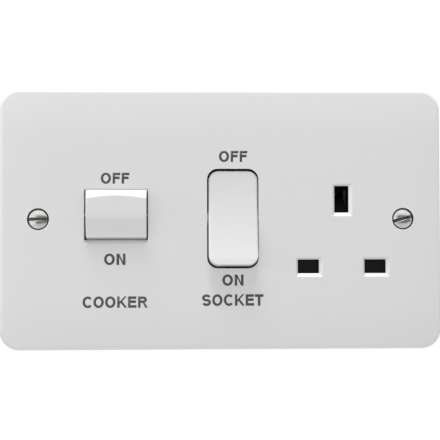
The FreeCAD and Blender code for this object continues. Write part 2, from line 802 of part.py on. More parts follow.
strip = (strip_y, strip_back)
for pole, side in (("line", 1), ("neutral", -1)):
    x = cooker_x + side * s.cooker_pole
    block_x = cooker_blocks[pole]
    supply = new_body(f"cooker_supply_{pole}")
    terminal(supply, block_x, s.block_half, top_block, [block_x], 1)
    add_block(supply, around(x, s.strip_half), strip, (cooker_z + landing - s.strip_half, top_block[0]))
    load = new_body(f"cooker_load_{pole}")
    terminal(load, block_x, s.block_half, bottom_block, [block_x], -1)
    add_block(load, around(x, s.strip_half), strip, (bottom_block[1], cooker_z + s.cradle_half))
    cradle(load, x, cooker_z)

# Links from the supply blocks to the fixed contacts of the socket switch. The neutral link steps over.
link_z = (top_block[1] - s.link_drop - s.link_width, top_block[1] - s.link_drop)
low_link = (block_y - s.strip_thick, block_y)
high_link = (low_link[0] - s.link_gap - s.strip_thick, low_link[0] - s.link_gap)
for pole, side, level in (("line", -1, low_link), ("neutral", 1, high_link)):
    x = switch_x + side * s.switch_pole
    block_x = cooker_blocks[pole]
    link = new_body(f"{pole}_link")
    add_block(link, (block_x - s.strip_half, x + s.strip_half), level, link_z)
    if pole == "neutral":
        add_block(link, around(block_x, s.strip_half), (level[0], block_y), link_z)
    riser = (link_z[0], link_z[0] + s.strip_thick)
    add_block(link, around(x, s.strip_half), (level[0], strip_back), riser)
    add_block(link, around(x, s.strip_half), strip, (switch_z + landing - s.strip_half, riser[1]))


def jaws(body, x, z, across, along, reach):
    """Two leaves on both sides of a pin, apart in X or in Z as across says."""
    outer = s.jaw_gap + s.jaw_thick
    for side in (1, -1):
        near, far = side * s.jaw_gap, side * outer
        leaf = (near, far) if side > 0 else (far, near)
        if across == "Z":
            add_block(body, around(x, along), reach, (z + leaf[0], z + leaf[1]))
        else:
            add_block(body, (x + leaf[0], x + leaf[1]), reach, around(z, along))


jaw_front = shutter_y[1] + s.jaw_standoff
jaw_outer = s.jaw_gap + s.jaw_thick
run_low = (bottom_inner + s.run_gap, bottom_inner + s.run_gap + s.run_width)
line_contact = new_body("line_contact")
x = switch_x - s.switch_pole
add_block(line_contact, around(x, s.strip_half), strip, (run_low[0], switch_z + s.cradle_half))
add_block(line_contact, (x - s.strip_half, line_pin_x + s.jaw_half), strip, run_low)
add_block(line_contact, around(line_pin_x, s.jaw_half), strip, (run_low[0], pin_z + jaw_outer))
jaws(line_contact, line_pin_x, pin_z, "Z", s.jaw_half, (jaw_front, strip_back))
cradle(line_contact, x, switch_z)

run_high = (pin_z + jaw_outer + s.run_rise, pin_z + jaw_outer + s.run_rise + s.run_width)
neutral_contact = new_body("neutral_contact")
x = switch_x + s.switch_pole
add_block(neutral_contact, around(x, s.strip_half), strip, (run_high[0], switch_z + s.cradle_half))
add_block(neutral_contact, (x - s.strip_half, neutral_pin_x + s.jaw_half), strip, run_high)
add_block(neutral_contact, around(neutral_pin_x, s.jaw_half), strip, (pin_z - jaw_outer, run_high[1]))
jaws(neutral_contact, neutral_pin_x, pin_z, "Z", s.jaw_half, (jaw_front, strip_back))
cradle(neutral_contact, x, switch_z)

earth_web = front + s.earth_pin_length + s.pin_standoff
earth_contact = new_body("earth_contact")
earth_back = (earth_web, earth_web + s.jaw_thick)
wedge_back = shutter_y[0] + s.shutter_wedge_depth
earth_strap = (earth_z - s.earth_jaw_half, top_block[0])
add_block(earth_contact, around(socket_x, jaw_outer), earth_back, earth_strap)
earth_reach = (wedge_back + s.pin_standoff, earth_back[1])
jaws(earth_contact, socket_x, earth_z, "X", s.earth_jaw_half, earth_reach)
earth_terminal = new_body("earth_terminal")
terminal(earth_terminal, earth_block_x, s.earth_block_half, top_block, earth_bores, 1)

# Clamp screws, backed out clear of the bores.
clamp_tip = bore_y + s.bore_radius + s.clamp_lift
clamp_top = base_back - s.clamp_sink
clamps = []
clamp_places = [(x, top_block) for x in list(cooker_blocks.values()) + earth_bores]
clamp_places += [(x, bottom_block) for x in cooker_blocks.values()]
for x, block in clamp_places:
    clamp = new_body("clamp_screw", node=False)
    add(clamp, "XZ", [(0, 0, s.clamp_radius)], (clamp_tip, clamp_top))
    slot_y = (clamp_top - s.slot_depth, clamp_top)
    cut_block(clamp, around(0, s.clamp_radius), slot_y, around(0, s.slot_width / 2))
    place(clamp, x, 0, (block[0] + block[1]) / 2)
    clamps.append(clamp)
group("clamp_screws", clamps)

# Shutter: a bar over the flat slots, a stem with a window for the spring and a wedge for the earth pin.
shutter = new_body("shutter")
bar_z = around(pin_z, flat_half[1] + s.shutter_lap)
window_bottom = -s.shutter_post_drop - s.shutter_gap
window_z = (window_bottom, window_bottom + s.shutter_window_height)
wedge_low = earth_z - earth_half[1]
shoulder_z = wedge_low - s.shutter_gap
add_block(shutter, around(socket_x, s.shutter_half), shutter_y, bar_z)
add_block(shutter, around(socket_x, s.shutter_stem), shutter_y, (bar_z[1], shoulder_z))
wedge_foot = shoulder_z - s.shutter_gap
wedge = [
    (shutter_y[0], wedge_foot), (wedge_back, wedge_foot), (wedge_back, shoulder_z + s.shutter_wedge_depth),
    (shutter_y[0], shoulder_z),
]
add(shutter, "YZ", [wedge], around(socket_x, s.shutter_wedge_half))
cut_block(shutter, around(socket_x, s.shutter_window), shutter_y, window_z)

post_z = (-s.shutter_post_drop, s.shutter_post - s.shutter_post_drop)
return_spring = new_body("shutter_spring")
draft = sketch(return_spring, "YZ")
wire = s.spring_wire
coil_middle = (shutter_y[0] + shutter_y[1]) / 2
outline(draft, box(around(s.spring_coil - wire, wire / 2), (0, wire)))
feature = return_spring.newObject("PartDesign::AdditiveHelix", "Coil")
feature.Profile = draft
feature.ReferenceAxis = (draft, ["V_Axis"])
feature.Mode = 1
feature.setExpression("Pitch", ((window_z[1] - post_z[1] - wire) / s.spring_turns).text)
feature.setExpression("Turns", s.spring_turns.text)
draft.Visibility = False
place(return_spring, socket_x, coil_middle, post_z[1])

# Rear bases, open to the front: a tray behind the cooker switch, a channel behind the socket switch and a
# tray behind the outlet, each held by two screws of its own.
cooker_base = new_body("cooker_base")
switch_base = new_body("switch_base")
outlet_base = new_body("outlet_base")
wall = s.base_wall
full_z = (-s.base_bottom, s.base_top)
inner_z = (bottom_inner, top_inner)
full_y = (skin_back, base_back)
inside = (skin_back, floor_y)
channel = (cooker_wall[1] + s.base_seam, socket_wall[0] - s.base_seam)
add_block(cooker_base, (base_left, cooker_wall[1]), full_y, full_z)
add_block(switch_base, channel, full_y, full_z)
outlet_tray = [
    (socket_wall[0], full_z[0]), (base_right, full_z[0]), (base_right, -s.lug_drop),
    (s.lug_edge, -s.lug_drop), (s.lug_edge, full_z[1]), (socket_wall[0], full_z[1]),
]
add(outlet_base, "XZ", [outlet_tray], full_y)


def upright_corner(edge):
    """True for the outer corners of a tray, which run along Y."""
    along = edge.tangentAt(edge.FirstParameter)
    inner = abs(middle_of(edge).x - s.lug_edge.value) < NEAR and middle_of(edge).z < 0
    return abs(along.y) > ALONG and not inner


soften(cooker_base, "Fillet", s.base_corner, upright_corner)
soften(outlet_base, "Fillet", s.base_corner, upright_corner)
cut_block(cooker_base, (base_left + wall, cooker_wall[0]), inside, inner_z)
cut_block(switch_base, channel, inside, inner_z)
outlet_bay = [
    (socket_wall[1], bottom_inner), (base_right - wall, bottom_inner),
    (base_right - wall, -s.lug_drop - wall), (s.lug_edge - wall, -s.lug_drop - wall),
    (s.lug_edge - wall, top_inner), (socket_wall[1], top_inner),
]
cut(outlet_base, "XZ", [outlet_bay], inside)

# Behind each switch: retainers with a wide foot and a tongue that closes the bearing, and pedestals under
# the strips.
poles = (s.cooker_pole, s.switch_pole)
for base, (x, z, half), pole in zip((cooker_base, switch_base), switches, poles):
    near, far = half + s.retainer_gap, half + s.retainer_gap + s.retainer_thick
    sides = ((x + near, x + far), (x - far, x - near))
    feet = [box(span, around(z, s.cheek_half)) for span in sides]
    tongues = [box(span, around(z, s.trunnion_radius - s.bearing_clearance)) for span in sides]
    add(base, "XZ", feet, (cheek_back + s.retainer_gap, floor_y))
    add(base, "XZ", tongues, (pivot_y + bearing, floor_y))
    pedestals = []
    for middle in (x - pole, x + pole):
        for level in (z, z + landing):
            pedestals.append(box(around(middle, s.strip_half), around(level, s.tip_radius)))
    add(base, "XZ", pedestals, (strip_back, floor_y))

# Behind the outlet: pedestals under the jaws.
pedestals = [box(around(x, s.jaw_half), around(pin_z, s.jaw_gap)) for x in (neutral_pin_x, line_pin_x)]
add(outlet_base, "XZ", pedestals, (strip_back, floor_y))
add_block(outlet_base, around(socket_x, jaw_outer), (earth_back[1], floor_y), around(earth_z, s.jaw_gap))

# Rails behind the shutter, and the post that its spring stands on.
rail_z = (run_low[1] + s.run_gap, window_z[1])
rails = [
    box((socket_x + s.rail_inner, socket_x + s.rail_inner + s.rail_thick), rail_z),
    box((socket_x - s.rail_inner - s.rail_thick, socket_x - s.rail_inner), rail_z),
]
add(outlet_base, "XZ", rails, (shutter_y[1] + s.shutter_play, floor_y))
add_block(outlet_base, around(socket_x, s.shutter_window - s.shutter_play), (shutter_y[0], floor_y), post_z)

# Ways through the walls: links, strips, wires and screwdrivers.
slit = s.slit_clearance
cut_block(cooker_base, cooker_wall, (skin_back, low_link[1] + slit), (link_z[0] - slit, link_z[1] + slit))
runs = [box(socket_wall, (run[0] - slit, run[1] + slit)) for run in (run_low, run_high)]
cut(outlet_base, "XZ", runs, (strip_y - slit, strip_back + slit))
entry = s.bore_radius + s.entry_clearance
access = s.clamp_radius + s.access_clearance
supply_x = list(cooker_blocks.values())
cut(cooker_base, "XY", [(x, bore_y, entry) for x in supply_x], (top_inner, s.base_top))
cut(cooker_base, "XY", [(x, bore_y, entry) for x in supply_x], (-s.base_bottom, bottom_inner))
cut(outlet_base, "XY", [(x, bore_y, entry) for x in earth_bores], (top_inner, s.base_top))
top_z, bottom_z = ((block[0] + block[1]) / 2 for block in (top_block, bottom_block))
cut(cooker_base, "XZ", [(x, z, access) for x in supply_x for z in (top_z, bottom_z)], (floor_y, base_back))
cut(outlet_base, "XZ", [(x, top_z, access) for x in earth_bores], (floor_y, base_back))

# Ears, one above and one below on each base, and their screws.
for base, pair in zip((cooker_base, switch_base, outlet_base), zip(ears[:3], ears[3:])):
    ear_boxes = []
    for x, z, side in pair:
        if side > 0:
            reach = (s.base_top - wall / 2, s.base_top + s.ear_reach)
        else:
            reach = (-s.base_bottom - s.ear_reach, wall / 2 - s.base_bottom)
        ear_boxes.append(box(around(x, s.ear_half), reach))
    add(base, "XZ", ear_boxes, ear_y)
    cut(base, "XZ", [(x, z, s.base_screw + s.access_clearance) for x, z, side in pair], ear_y)
fasteners = []
for x, z, side in ears:
    fastener = new_body("base_screw", node=False)
    add(fastener, "XZ", [(0, 0, s.base_screw_head)], (ear_y[1], ear_y[1] + s.base_screw_rise))
    add(fastener, "XZ", [(0, 0, s.base_screw)], (bite + s.base_screw_clearance, ear_y[1]))
    slot_y = (ear_y[1] + s.base_screw_rise - s.slot_depth, ear_y[1] + s.base_screw_rise)
    cut_block(fastener, around(0, s.base_screw_head), slot_y, around(0, s.slot_width / 2))
    place(fastener, x, 0, z)
    fasteners.append(fastener)
group("base_screws", fasteners)

document.recompute()

faults = []
for item in document.Objects:
    if "Invalid" in item.State or "Error" in item.State:
        faults.append(f"{item.Label}: {item.State}")
for node in nodes:
    if node.Shape.isNull() or not node.Shape.isValid():
        faults.append(f"{node.Label}: shape is empty or not valid")
if faults:
    raise RuntimeError("; ".join(faults))

os.makedirs("parts", exist_ok=True)
for node in nodes:
    node.Shape.exportStep(f"parts/{node.Label}.step")
print(f"{len(nodes)} pieces written")
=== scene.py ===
# %% [markdown]
# # A cooker control unit
# A white wall plate carries a rocker switch for a cooker, a second rocker switch and a socket outlet.
# The imported model gives every piece its size, place and motion. This lesson gives the pieces their
# finish, and remakes the ones that show most as smooth surfaces. We load the frame first. No piece
# may grow past it.

# %% Load the frame
import json
import math

import bmesh
import bpy
import numpy as np
from mathutils import Matrix, Vector


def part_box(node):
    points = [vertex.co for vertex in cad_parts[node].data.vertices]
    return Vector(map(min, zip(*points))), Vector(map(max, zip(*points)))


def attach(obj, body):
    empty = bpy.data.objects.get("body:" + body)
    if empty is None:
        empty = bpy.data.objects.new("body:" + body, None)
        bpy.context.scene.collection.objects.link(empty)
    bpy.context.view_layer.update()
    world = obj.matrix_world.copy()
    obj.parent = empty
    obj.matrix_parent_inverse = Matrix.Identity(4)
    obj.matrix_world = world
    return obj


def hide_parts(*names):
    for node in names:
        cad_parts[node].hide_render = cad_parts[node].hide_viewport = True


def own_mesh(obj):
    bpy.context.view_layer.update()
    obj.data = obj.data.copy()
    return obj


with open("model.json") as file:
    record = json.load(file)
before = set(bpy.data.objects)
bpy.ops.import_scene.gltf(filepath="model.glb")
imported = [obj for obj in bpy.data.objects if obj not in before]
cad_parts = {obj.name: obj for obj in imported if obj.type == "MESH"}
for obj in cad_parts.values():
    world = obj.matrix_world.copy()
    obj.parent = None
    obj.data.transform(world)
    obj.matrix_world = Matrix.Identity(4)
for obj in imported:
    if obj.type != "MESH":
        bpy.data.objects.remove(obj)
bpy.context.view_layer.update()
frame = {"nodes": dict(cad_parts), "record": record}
nodes = frame["nodes"]
MM = 0.001

# %% [markdown]
# ## Camera
# The photograph looks almost straight at the plate, from a little to the left and a little below. A
# camera is three directions and a place: we turn the plate's own axes by yaw, pitch and roll, and step
# back along the viewing direction. The lens follows from how wide a strip of the plate the picture spans.

# %% Place the camera
VIEW_DISTANCE = 0.450
VIEW_SPAN = 0.14522
VIEW_YAW, VIEW_PITCH, VIEW_ROLL = (math.radians(turn) for turn in (2.55, -2.17, 0.18))
VIEW_RIGHT, VIEW_UP = -0.5 * MM, -0.34 * MM
plate_low, plate_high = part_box("front_plate")
FRONT = plate_low.y


def view_axes(yaw, pitch, roll):
    """Right, forward and up of the camera: the plate's axes turned about Z, X and the line of sight."""
    cy, sy, cp, sp = math.cos(yaw), math.sin(yaw), math.cos(pitch), math.sin(pitch)
    across = np.array((cy, -sy, 0.0))
    forward = np.array((cp * sy, cp * cy, -sp))
    above = np.array((sp * sy, sp * cy, cp))
    right = math.cos(roll) * across - math.sin(roll) * above
    up = math.sin(roll) * across + math.cos(roll) * above
    return right, forward, up


right, forward, up = view_axes(VIEW_YAW, VIEW_PITCH, VIEW_ROLL)
place = np.array((0, FRONT, 0)) - VIEW_DISTANCE * forward + VIEW_RIGHT * right + VIEW_UP * up
camera = bpy.data.objects.new("camera", bpy.data.cameras.new("camera"))
camera.data.sensor_width = 36.0
camera.data.lens = camera.data.sensor_width * VIEW_DISTANCE / VIEW_SPAN
turned = np.eye(4)
turned[:3, :3] = np.stack([right, up, -forward], axis=1)
turned[:3, 3] = place
camera.matrix_world = Matrix(turned)
bpy.context.scene.collection.objects.link(camera)
bpy.context.scene.camera = camera
print("camera at mm:", np.round(place / MM, 1), "lens:", round(camera.data.lens, 1))

# %% [markdown]
# ## Studio
# The unit was photographed in a white tent: strong soft light from above, weaker light from both sides
# and from below, and little from the front. That is why the bevels that face up are brighter than the
# plate. Five soft lamps stand round it, an even world fills in, and the background is white only to the
# camera, to mirrors and to glass.

# %% Light the studio
AMBIENT = 0.725
LAMP_LENGTH = 0.5
# Direction from the plate, distance and breadth in metres, power in watts
LAMPS = {
    "top_lamp": ((-0.12, -0.19, 0.97), 0.9, 0.18, 7.4),
    "left_lamp": ((-0.95, -0.30, 0.10), 0.9, 0.18, 1.1),
    "right_lamp": ((0.95, -0.30, 0.10), 0.9, 0.18, 0.35),
    "back_lamp": ((0.30, 0.80, 0.50), 0.9, 0.18, 3.0),
    "low_lamp": ((0.1, -0.20, -0.98), 0.25, 0.06, 0.1),
}

scene = bpy.context.scene
scene.view_settings.view_transform = "Standard"


def studio_world():
    """White to camera, mirror and glass rays; even light of a set strength to everything else."""
    world = bpy.data.worlds.new("studio")
    scene.world = world
    world.use_nodes = True
    tree = world.node_tree
    tree.nodes.clear()
    path = tree.nodes.new("ShaderNodeLightPath")
    seen = path.outputs["Is Camera Ray"]
    for kind in ("Is Glossy Ray", "Is Transmission Ray"):
        either = tree.nodes.new("ShaderNodeMath")
        either.operation = "MAXIMUM"
        tree.links.new(seen, either.inputs[0])
        tree.links.new(path.outputs[kind], either.inputs[1])
        seen = either.outputs[0]
    even = tree.nodes.new("ShaderNodeBackground")
    even.inputs["Strength"].default_value = AMBIENT
    even.inputs["Color"].default_value = (1, 1, 1, 1)
    white = tree.nodes.new("ShaderNodeBackground")
    white.inputs["Color"].default_value = (1, 1, 1, 1)
    mix = tree.nodes.new("ShaderNodeMixShader")
    tree.links.new(seen, mix.inputs["Fac"])
    tree.links.new(even.outputs[0], mix.inputs[1])
    tree.links.new(white.outputs[0], mix.inputs[2])
    tree.links.new(mix.outputs[0], tree.nodes.new("ShaderNodeOutputWorld").inputs["Surface"])


def lamp(name, direction, distance, breadth, power):
    """A soft rectangular lamp at a set distance in a direction, facing the middle of the plate."""
    light = bpy.data.lights.new(name, "AREA")
    light.shape = "RECTANGLE"
    light.size, light.size_y = LAMP_LENGTH, breadth
    light.energy = power
    holder = bpy.data.objects.new(name, light)
    holder.location = distance * Vector(direction).normalized()
    holder.rotation_euler = Vector(direction).to_track_quat("Z", "Y").to_euler()
    scene.collection.objects.link(holder)


studio_world()
for name, values in LAMPS.items():
    lamp(name, *values)
print("studio:", len(LAMPS), "lamps, even world of strength", AMBIENT)

# %% [markdown]
# ## Meshes from arrays
# Every new piece is a grid of points worked out as one array. This helper turns such grids into one
# mesh, closes their seams by merging points that coincide, and turns all faces outwards.

# %% Helpers for surfaces
SMOOTH_ANGLE = math.radians(32)
MERGE = 1e-6


def grid_faces(rows, columns, wrap):
    """Four-sided faces of a grid of points, row after row; wrap joins its last column to the first."""
    index = np.arange(rows * columns).reshape(rows, columns)
    left = index if wrap else index[:, :-1]
    after = np.roll(index, -1, axis=1) if wrap else index[:, 1:]
    return np.stack([left[:-1], after[:-1], after[1:], left[1:]], axis=-1).reshape(-1, 4)


def piece(name, grids, body, slot, material=None, polygons=()):
    """One mesh from grids (points of shape rows x columns x 3, wrap, and where only some of a grid's cells
    count, which) and from flat polygons of points, in the finish of its slot unless another is given."""
    points, faces, start = [], [], 0
    for grid, wrap, *keep in grids:
        rows, columns = grid.shape[:2]
        points.append(grid.reshape(-1, 3))
        cells = grid_faces(rows, columns, wrap) + start
        faces.extend((cells[keep[0].ravel()] if keep else cells).tolist())
        start += rows * columns
    for polygon in polygons:
        points.append(polygon)
        faces.append(list(range(start, start + len(polygon))))
        start += len(polygon)
    mesh = bpy.data.meshes.new(name)
    mesh.from_pydata(np.concatenate(points).tolist(), [], faces)
    work = bmesh.new()
    work.from_mesh(mesh)
    bmesh.ops.remove_doubles(work, verts=work.verts, dist=MERGE)
    bmesh.ops.dissolve_degenerate(work, edges=work.edges, dist=MERGE)
    bmesh.ops.recalc_face_normals(work, faces=work.faces)
    work.to_mesh(mesh)
    work.free()
    mesh.polygons.foreach_set("use_smooth", np.ones(len(mesh.polygons), bool))
    mesh.set_sharp_from_angle(angle=SMOOTH_ANGLE)
    mesh.materials.append(material or finishes[slot])
    made = bpy.data.objects.new(name, mesh)
    scene.collection.objects.link(made)
    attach(made, body)
    print(name, "faces:", len(mesh.polygons))
    return made


# %% [markdown]
# ## Finishes
# Moulded plastic is never one flat colour: its shade drifts a little, its gloss is uneven and its skin
# has a faint orange peel. One function builds that from three noises, each at its own scale, and the
# plastics differ only in their numbers.

# %% Plastic finishes
NOISE_SPAN = (0.2, 0.8)


def noise(tree, scale, detail, coordinates):
    """A noise texture on the piece's own coordinates."""
    node = tree.nodes.new("ShaderNodeTexNoise")
    node.inputs["Scale"].default_value = scale
    node.inputs["Detail"].default_value = detail
    tree.links.new(coordinates, node.inputs["Vector"])
    return node.outputs["Fac"]


def spread(tree, value, low, high):
    """Stretches a noise over a span of values."""
    node = tree.nodes.new("ShaderNodeMapRange")
    node.inputs["From Min"].default_value = NOISE_SPAN[0]
    node.inputs["From Max"].default_value = NOISE_SPAN[1]
    node.inputs["To Min"].default_value = low
    node.inputs["To Max"].default_value = high
    tree.links.new(value, node.inputs["Value"])
    return node.outputs["Result"]


def between(tree, factor, first, second):
    """A colour between two colours."""
    node = tree.nodes.new("ShaderNodeMix")
    node.data_type = "RGBA"
    node.inputs["A"].default_value = (*first, 1)
    node.inputs["B"].default_value = (*second, 1)
    tree.links.new(factor, node.inputs["Factor"])
    return node.outputs["Result"]


def finish(name, light, dark, drift, gloss, gloss_scale, skin, skin_scale, metallic=0.0, sheen=0.5):
    """A finish whose colour drifts between light and dark, whose roughness spans gloss, and whose skin
    rises by skin metres; the three scales are in waves per metre."""
    material = bpy.data.materials.new(name)
    material.use_nodes = True
    tree = material.node_tree
    shader = tree.nodes["Principled BSDF"]
    shader.inputs["Metallic"].default_value = metallic
    shader.inputs["Specular IOR Level"].default_value = sheen
    coordinates = tree.nodes.new("ShaderNodeTexCoord").outputs["Object"]
    shade = spread(tree, noise(tree, drift, 3.0, coordinates), 0.0, 1.0)
    tree.links.new(between(tree, shade, dark, light), shader.inputs["Base Color"])
    rough = spread(tree, noise(tree, gloss_scale, 2.0, coordinates), *gloss)
    tree.links.new(rough, shader.inputs["Roughness"])
    bump = tree.nodes.new("ShaderNodeBump")
    bump.inputs["Distance"].default_value = skin
    tree.links.new(noise(tree, skin_scale, 2.0, coordinates), bump.inputs["Height"])
    tree.links.new(bump.outputs["Normal"], shader.inputs["Normal"])
    return material


def grey(level):
    """A neutral colour."""
    return (level, level, level)


# Light and dark colour, waves of the drift, gloss, its waves, skin, its waves; then metallic and sheen
PLASTICS = {
    "plate_white": (grey(0.748), grey(0.738), 25, (0.27, 0.33), 60, 3e-6, 900),
    "rocker_white": (grey(0.752), grey(0.742), 40, (0.22, 0.28), 80, 2e-6, 900),
    "base_grey": ((0.062, 0.066, 0.07), (0.048, 0.051, 0.055), 70, (0.45, 0.6), 200, 2e-5, 1500),
    "shutter_black": ((0.0155, 0.0175, 0.018), grey(0.0125), 150, (0.5, 0.65), 200, 1e-5, 1500, 0.0, 0.1),
    "plunger_nylon": ((0.75, 0.72, 0.63), (0.66, 0.63, 0.54), 200, (0.4, 0.5), 300, 5e-6, 1500),
}
finishes = {name: finish(name, *values) for name, values in PLASTICS.items()}
print("plastic finishes:", len(finishes))

# %% [markdown]
# ## Metals
# The screws are nickel plated, the terminals are pressed brass, the contacts are silver. They use the same
# function with no diffuse colour: the drift becomes a faint dulling and the skin a drawn grain. The earth
# contact lies deep behind its slot and gets a dark, dull, mostly non-metal brass instead: painted shade, so
# that the slot reads dark.

# %% Metal finishes
METALS = {
    "screw_steel": ((0.80, 0.79, 0.77), (0.66, 0.65, 0.63), 400, (0.16, 0.3), 700, 4e-6, 3000, 1.0),
    "brass": ((0.80, 0.60, 0.28), (0.62, 0.44, 0.19), 250, (0.2, 0.36), 600, 5e-6, 2500, 1.0),
    "contact_silver": ((0.88, 0.87, 0.84), (0.72, 0.70, 0.66), 500, (0.2, 0.35), 700, 3e-6, 3000, 1.0),
    "spring_steel": ((0.56, 0.56, 0.57), (0.42, 0.42, 0.43), 600, (0.22, 0.36), 900, 3e-6, 4000, 1.0),
    # Painted shade: a dark, dull brass for the earth contact, which lies in shadow deep behind its slot
    "earth_brass_painted_shade": ((0.2, 0.19, 0.17), (0.15, 0.14, 0.125), 250, (0.5, 0.65), 600, 5e-6, 2500, 0.2),
}
for name, values in METALS.items():
    finishes[name] = finish(name, *values)
for part in frame["record"]["subparts"]:
    mesh = nodes[part["node"]].data
    mesh.materials.clear()
    # The earth contact takes the painted-shade brass instead of its own finish
    look = "earth_brass_painted_shade" if part["node"] == "earth_contact" else part["material_slot"]
    mesh.materials.append(finishes[look])

# %% [markdown]
# ## Legends
# The words on the plate are printed in dark grey. Straight letters are outlines of a few corners, and
# round letters are strips between two curves, so each letter is drawn once in a cell of height one. A word
# is then stretched to its width on the plate.

# %% Draw the letters
STEM = 0.222
OVAL = 0.515
MIDDLE_BAR = 0.42
ROUND_STEPS = 40


def circle(angle):
    """Points of a circle of radius one at given angles."""
    return np.stack([np.cos(angle), np.sin(angle)], axis=-1)


def oval(width, start, end):
    """Strip between an outer and an inner oval, over a span of angles."""
    points = circle(np.radians(np.linspace(start, end, ROUND_STEPS + 1)))
    outer, inner = (width / 2, OVAL), (width / 2 - STEM * 1.05, OVAL - STEM * 0.95)
    return np.stack([points * outer, points * inner]) + (width / 2, 0.5)


def ribbon(path):
    """Strip of a stem's width along a path: each point moves to both sides across its direction."""
    along = np.gradient(path, axis=0)
    along /= np.linalg.norm(along, axis=1, keepdims=True)
    across = np.stack([-along[:, 1], along[:, 0]], axis=-1) * STEM / 2
    return np.stack([path + across, path - across])


def bow(centre, half, start, end):
    """Points of an oval from one angle to another."""
    return circle(np.radians(np.linspace(start, end, ROUND_STEPS // 2 + 1))) * half + centre


def letter_s(width):
    """Two bows, the upper against the clock and the lower with it, that meet in the middle."""
    half = np.array(((width - STEM) / 2, (1.012 - STEM / 2 - 0.5) / 2))
    upper = bow((width / 2, 0.5 + half[1]), half, 22, 270)
    lower = bow((width / 2, 0.5 - half[1]), half, 90, -158)
    return ribbon(np.concatenate([upper, lower[1:]]))


def letter_r(width):
    """The bowl of an R: out along the top, round and back to the stem."""
    low, high = MIDDLE_BAR + STEM / 2, 1 - STEM / 2
    half = np.array((0.24, (high - low) / 2))
    round_part = bow((width - 0.05 - STEM / 2 - half[0], low + half[1]), half, 90, -90)
    return ribbon(np.concatenate([[(STEM, high)], round_part, [(STEM, low)]]))


def bars(width, levels, reach):
    """Outline of a stem on the left with bars at given levels, each as long as its reach."""
    foot = [(0, 0), (STEM, 0), (STEM, levels[0])] if levels[0] else [(0, 0)]
    corners = []
    for level, length in zip(levels, reach):
        end, top = length * width, level + STEM
        corners += [(STEM, level), (end, level), (end, top), (STEM, top)]
    return foot + corners[1:-1] + [(0, 1)]


def letter(sign):
    """Advance, left bearing, strips and outlines of a letter in a cell of height one."""
    if sign == "O":
        return 1.08, 0.06, [oval(0.96, 0, 360)], []
    if sign == "C":
        return 1.0, 0.06, [oval(0.96, 42, 318)], []
    if sign == "S":
        return 0.93, 0.05, [letter_s(0.83)], []
    if sign == "F":
        return 0.85, 0.1, [], [bars(0.72, (MIDDLE_BAR, 1 - STEM), (0.9, 1))]
    if sign == "E":
        return 0.93, 0.1, [], [bars(0.78, (0, MIDDLE_BAR, 1 - STEM), (1, 0.93, 0.98))]
    if sign == "T":
        left = 0.4 - STEM / 2
        return 0.85, 0.02, [], [[
            (left, 0), (left + STEM, 0), (left + STEM, 1 - STEM), (0.8, 1 - STEM), (0.8, 1), (0, 1),
            (0, 1 - STEM), (left, 1 - STEM),
        ]]
    if sign == "N":
        far = 0.8
        return 1.0, 0.1, [], [[
            (0, 0), (STEM, 0), (STEM, 0.72), (far - STEM, 0), (far, 0), (far, 1), (far - STEM, 1),
            (far - STEM, 0.28), (STEM, 1), (0, 1),
        ]]
    if sign == "K":
        far = 0.9
        return 1.0, 0.1, [], [[
            (0, 0), (STEM, 0), (STEM, 0.29), (0.32, 0.44), (far - 0.21, 0), (far, 0), (0.455, 0.575),
            (far - 0.03, 1), (far - 0.24, 1), (STEM, 0.53), (STEM, 1), (0, 1),
        ]]
    if sign == "R":
        far = 0.86
        return 1.0, 0.1, [letter_r(far)], [
            [(0, 0), (STEM, 0), (STEM, 1), (0, 1)],
            [(0.45, MIDDLE_BAR), (0.64, MIDDLE_BAR), (far, 0), (far - 0.2, 0)],
        ]
    raise ValueError(sign)


INK_RISE = 0.02 * MM
ink = finish("legend_ink", grey(0.078), grey(0.058), 500, (0.45, 0.6), 900, 2e-6, 2500)


def legend(name, text, x_span, z_span):
    """A printed word: its letters side by side, stretched to a span in X and a span in Z."""
    strips, outlines, cursor = [], [], 0.0
    for sign in text:
        advance, bearing, rounds, straights = letter(sign)
        strips += [strip + (cursor + bearing, 0) for strip in rounds]
        outlines += [np.array(corners, float) + (cursor + bearing, 0) for corners in straights]
        cursor += advance
    everything = np.concatenate([flat.reshape(-1, 2) for flat in strips + outlines])
    left, right_end = everything[:, 0].min(), everything[:, 0].max()

    def on_plate(flat):
        x = x_span[0] + (flat[..., 0] - left) / (right_end - left) * (x_span[1] - x_span[0])
        z = z_span[0] + flat[..., 1] * (z_span[1] - z_span[0])
        return np.stack([x * MM, np.full_like(x, FRONT - INK_RISE), z * MM], axis=-1)

    grids = [(on_plate(strip), False) for strip in strips]
    made = piece(name, grids, "unit", "plate_white", ink, [on_plate(corners) for corners in outlines])
    film = made.modifiers.new("film", "SOLIDIFY")
    film.thickness = 2 * INK_RISE
    film.offset = -1


# Word, its span in X and its span in Z
LEGENDS = {
    "legend_cooker_off": ("OFF", (-39.75, -30.35), (11.7, 15.3)),
    "legend_cooker_on": ("ON", (-38.65, -31.65), (-15.05, -11.35)),
    "legend_cooker": ("COOKER", (-45.7, -24.45), (-29.1, -25.4)),
    "legend_socket_off": ("OFF", (-0.8, 8.6), (18.9, 22.55)),
    "legend_socket_on": ("ON", (0.2, 7.2), (-22.0, -18.35)),
    "legend_socket": ("SOCKET", (-6.5, 13.75), (-28.6, -24.85)),
}
for name, (text, x_span, z_span) in LEGENDS.items():
    legend(name, text, x_span, z_span)

# %% [markdown]
# ## Rockers
# A rocker is a moulded cap: four walls, a soft rim and a shaped face, hollow behind, with two trunnions to
# turn on and two barrels for its plungers. We draw its outline once as a rounded rectangle and carry it
# from the skirt up the walls, over the rim and across the face to the middle, so the whole outside is
# one grid. The height of the mouth and the radius of the rim may differ from point to point, which gives
# the cooker rocker the arched light along its top.

# %% Surfaces that rings make


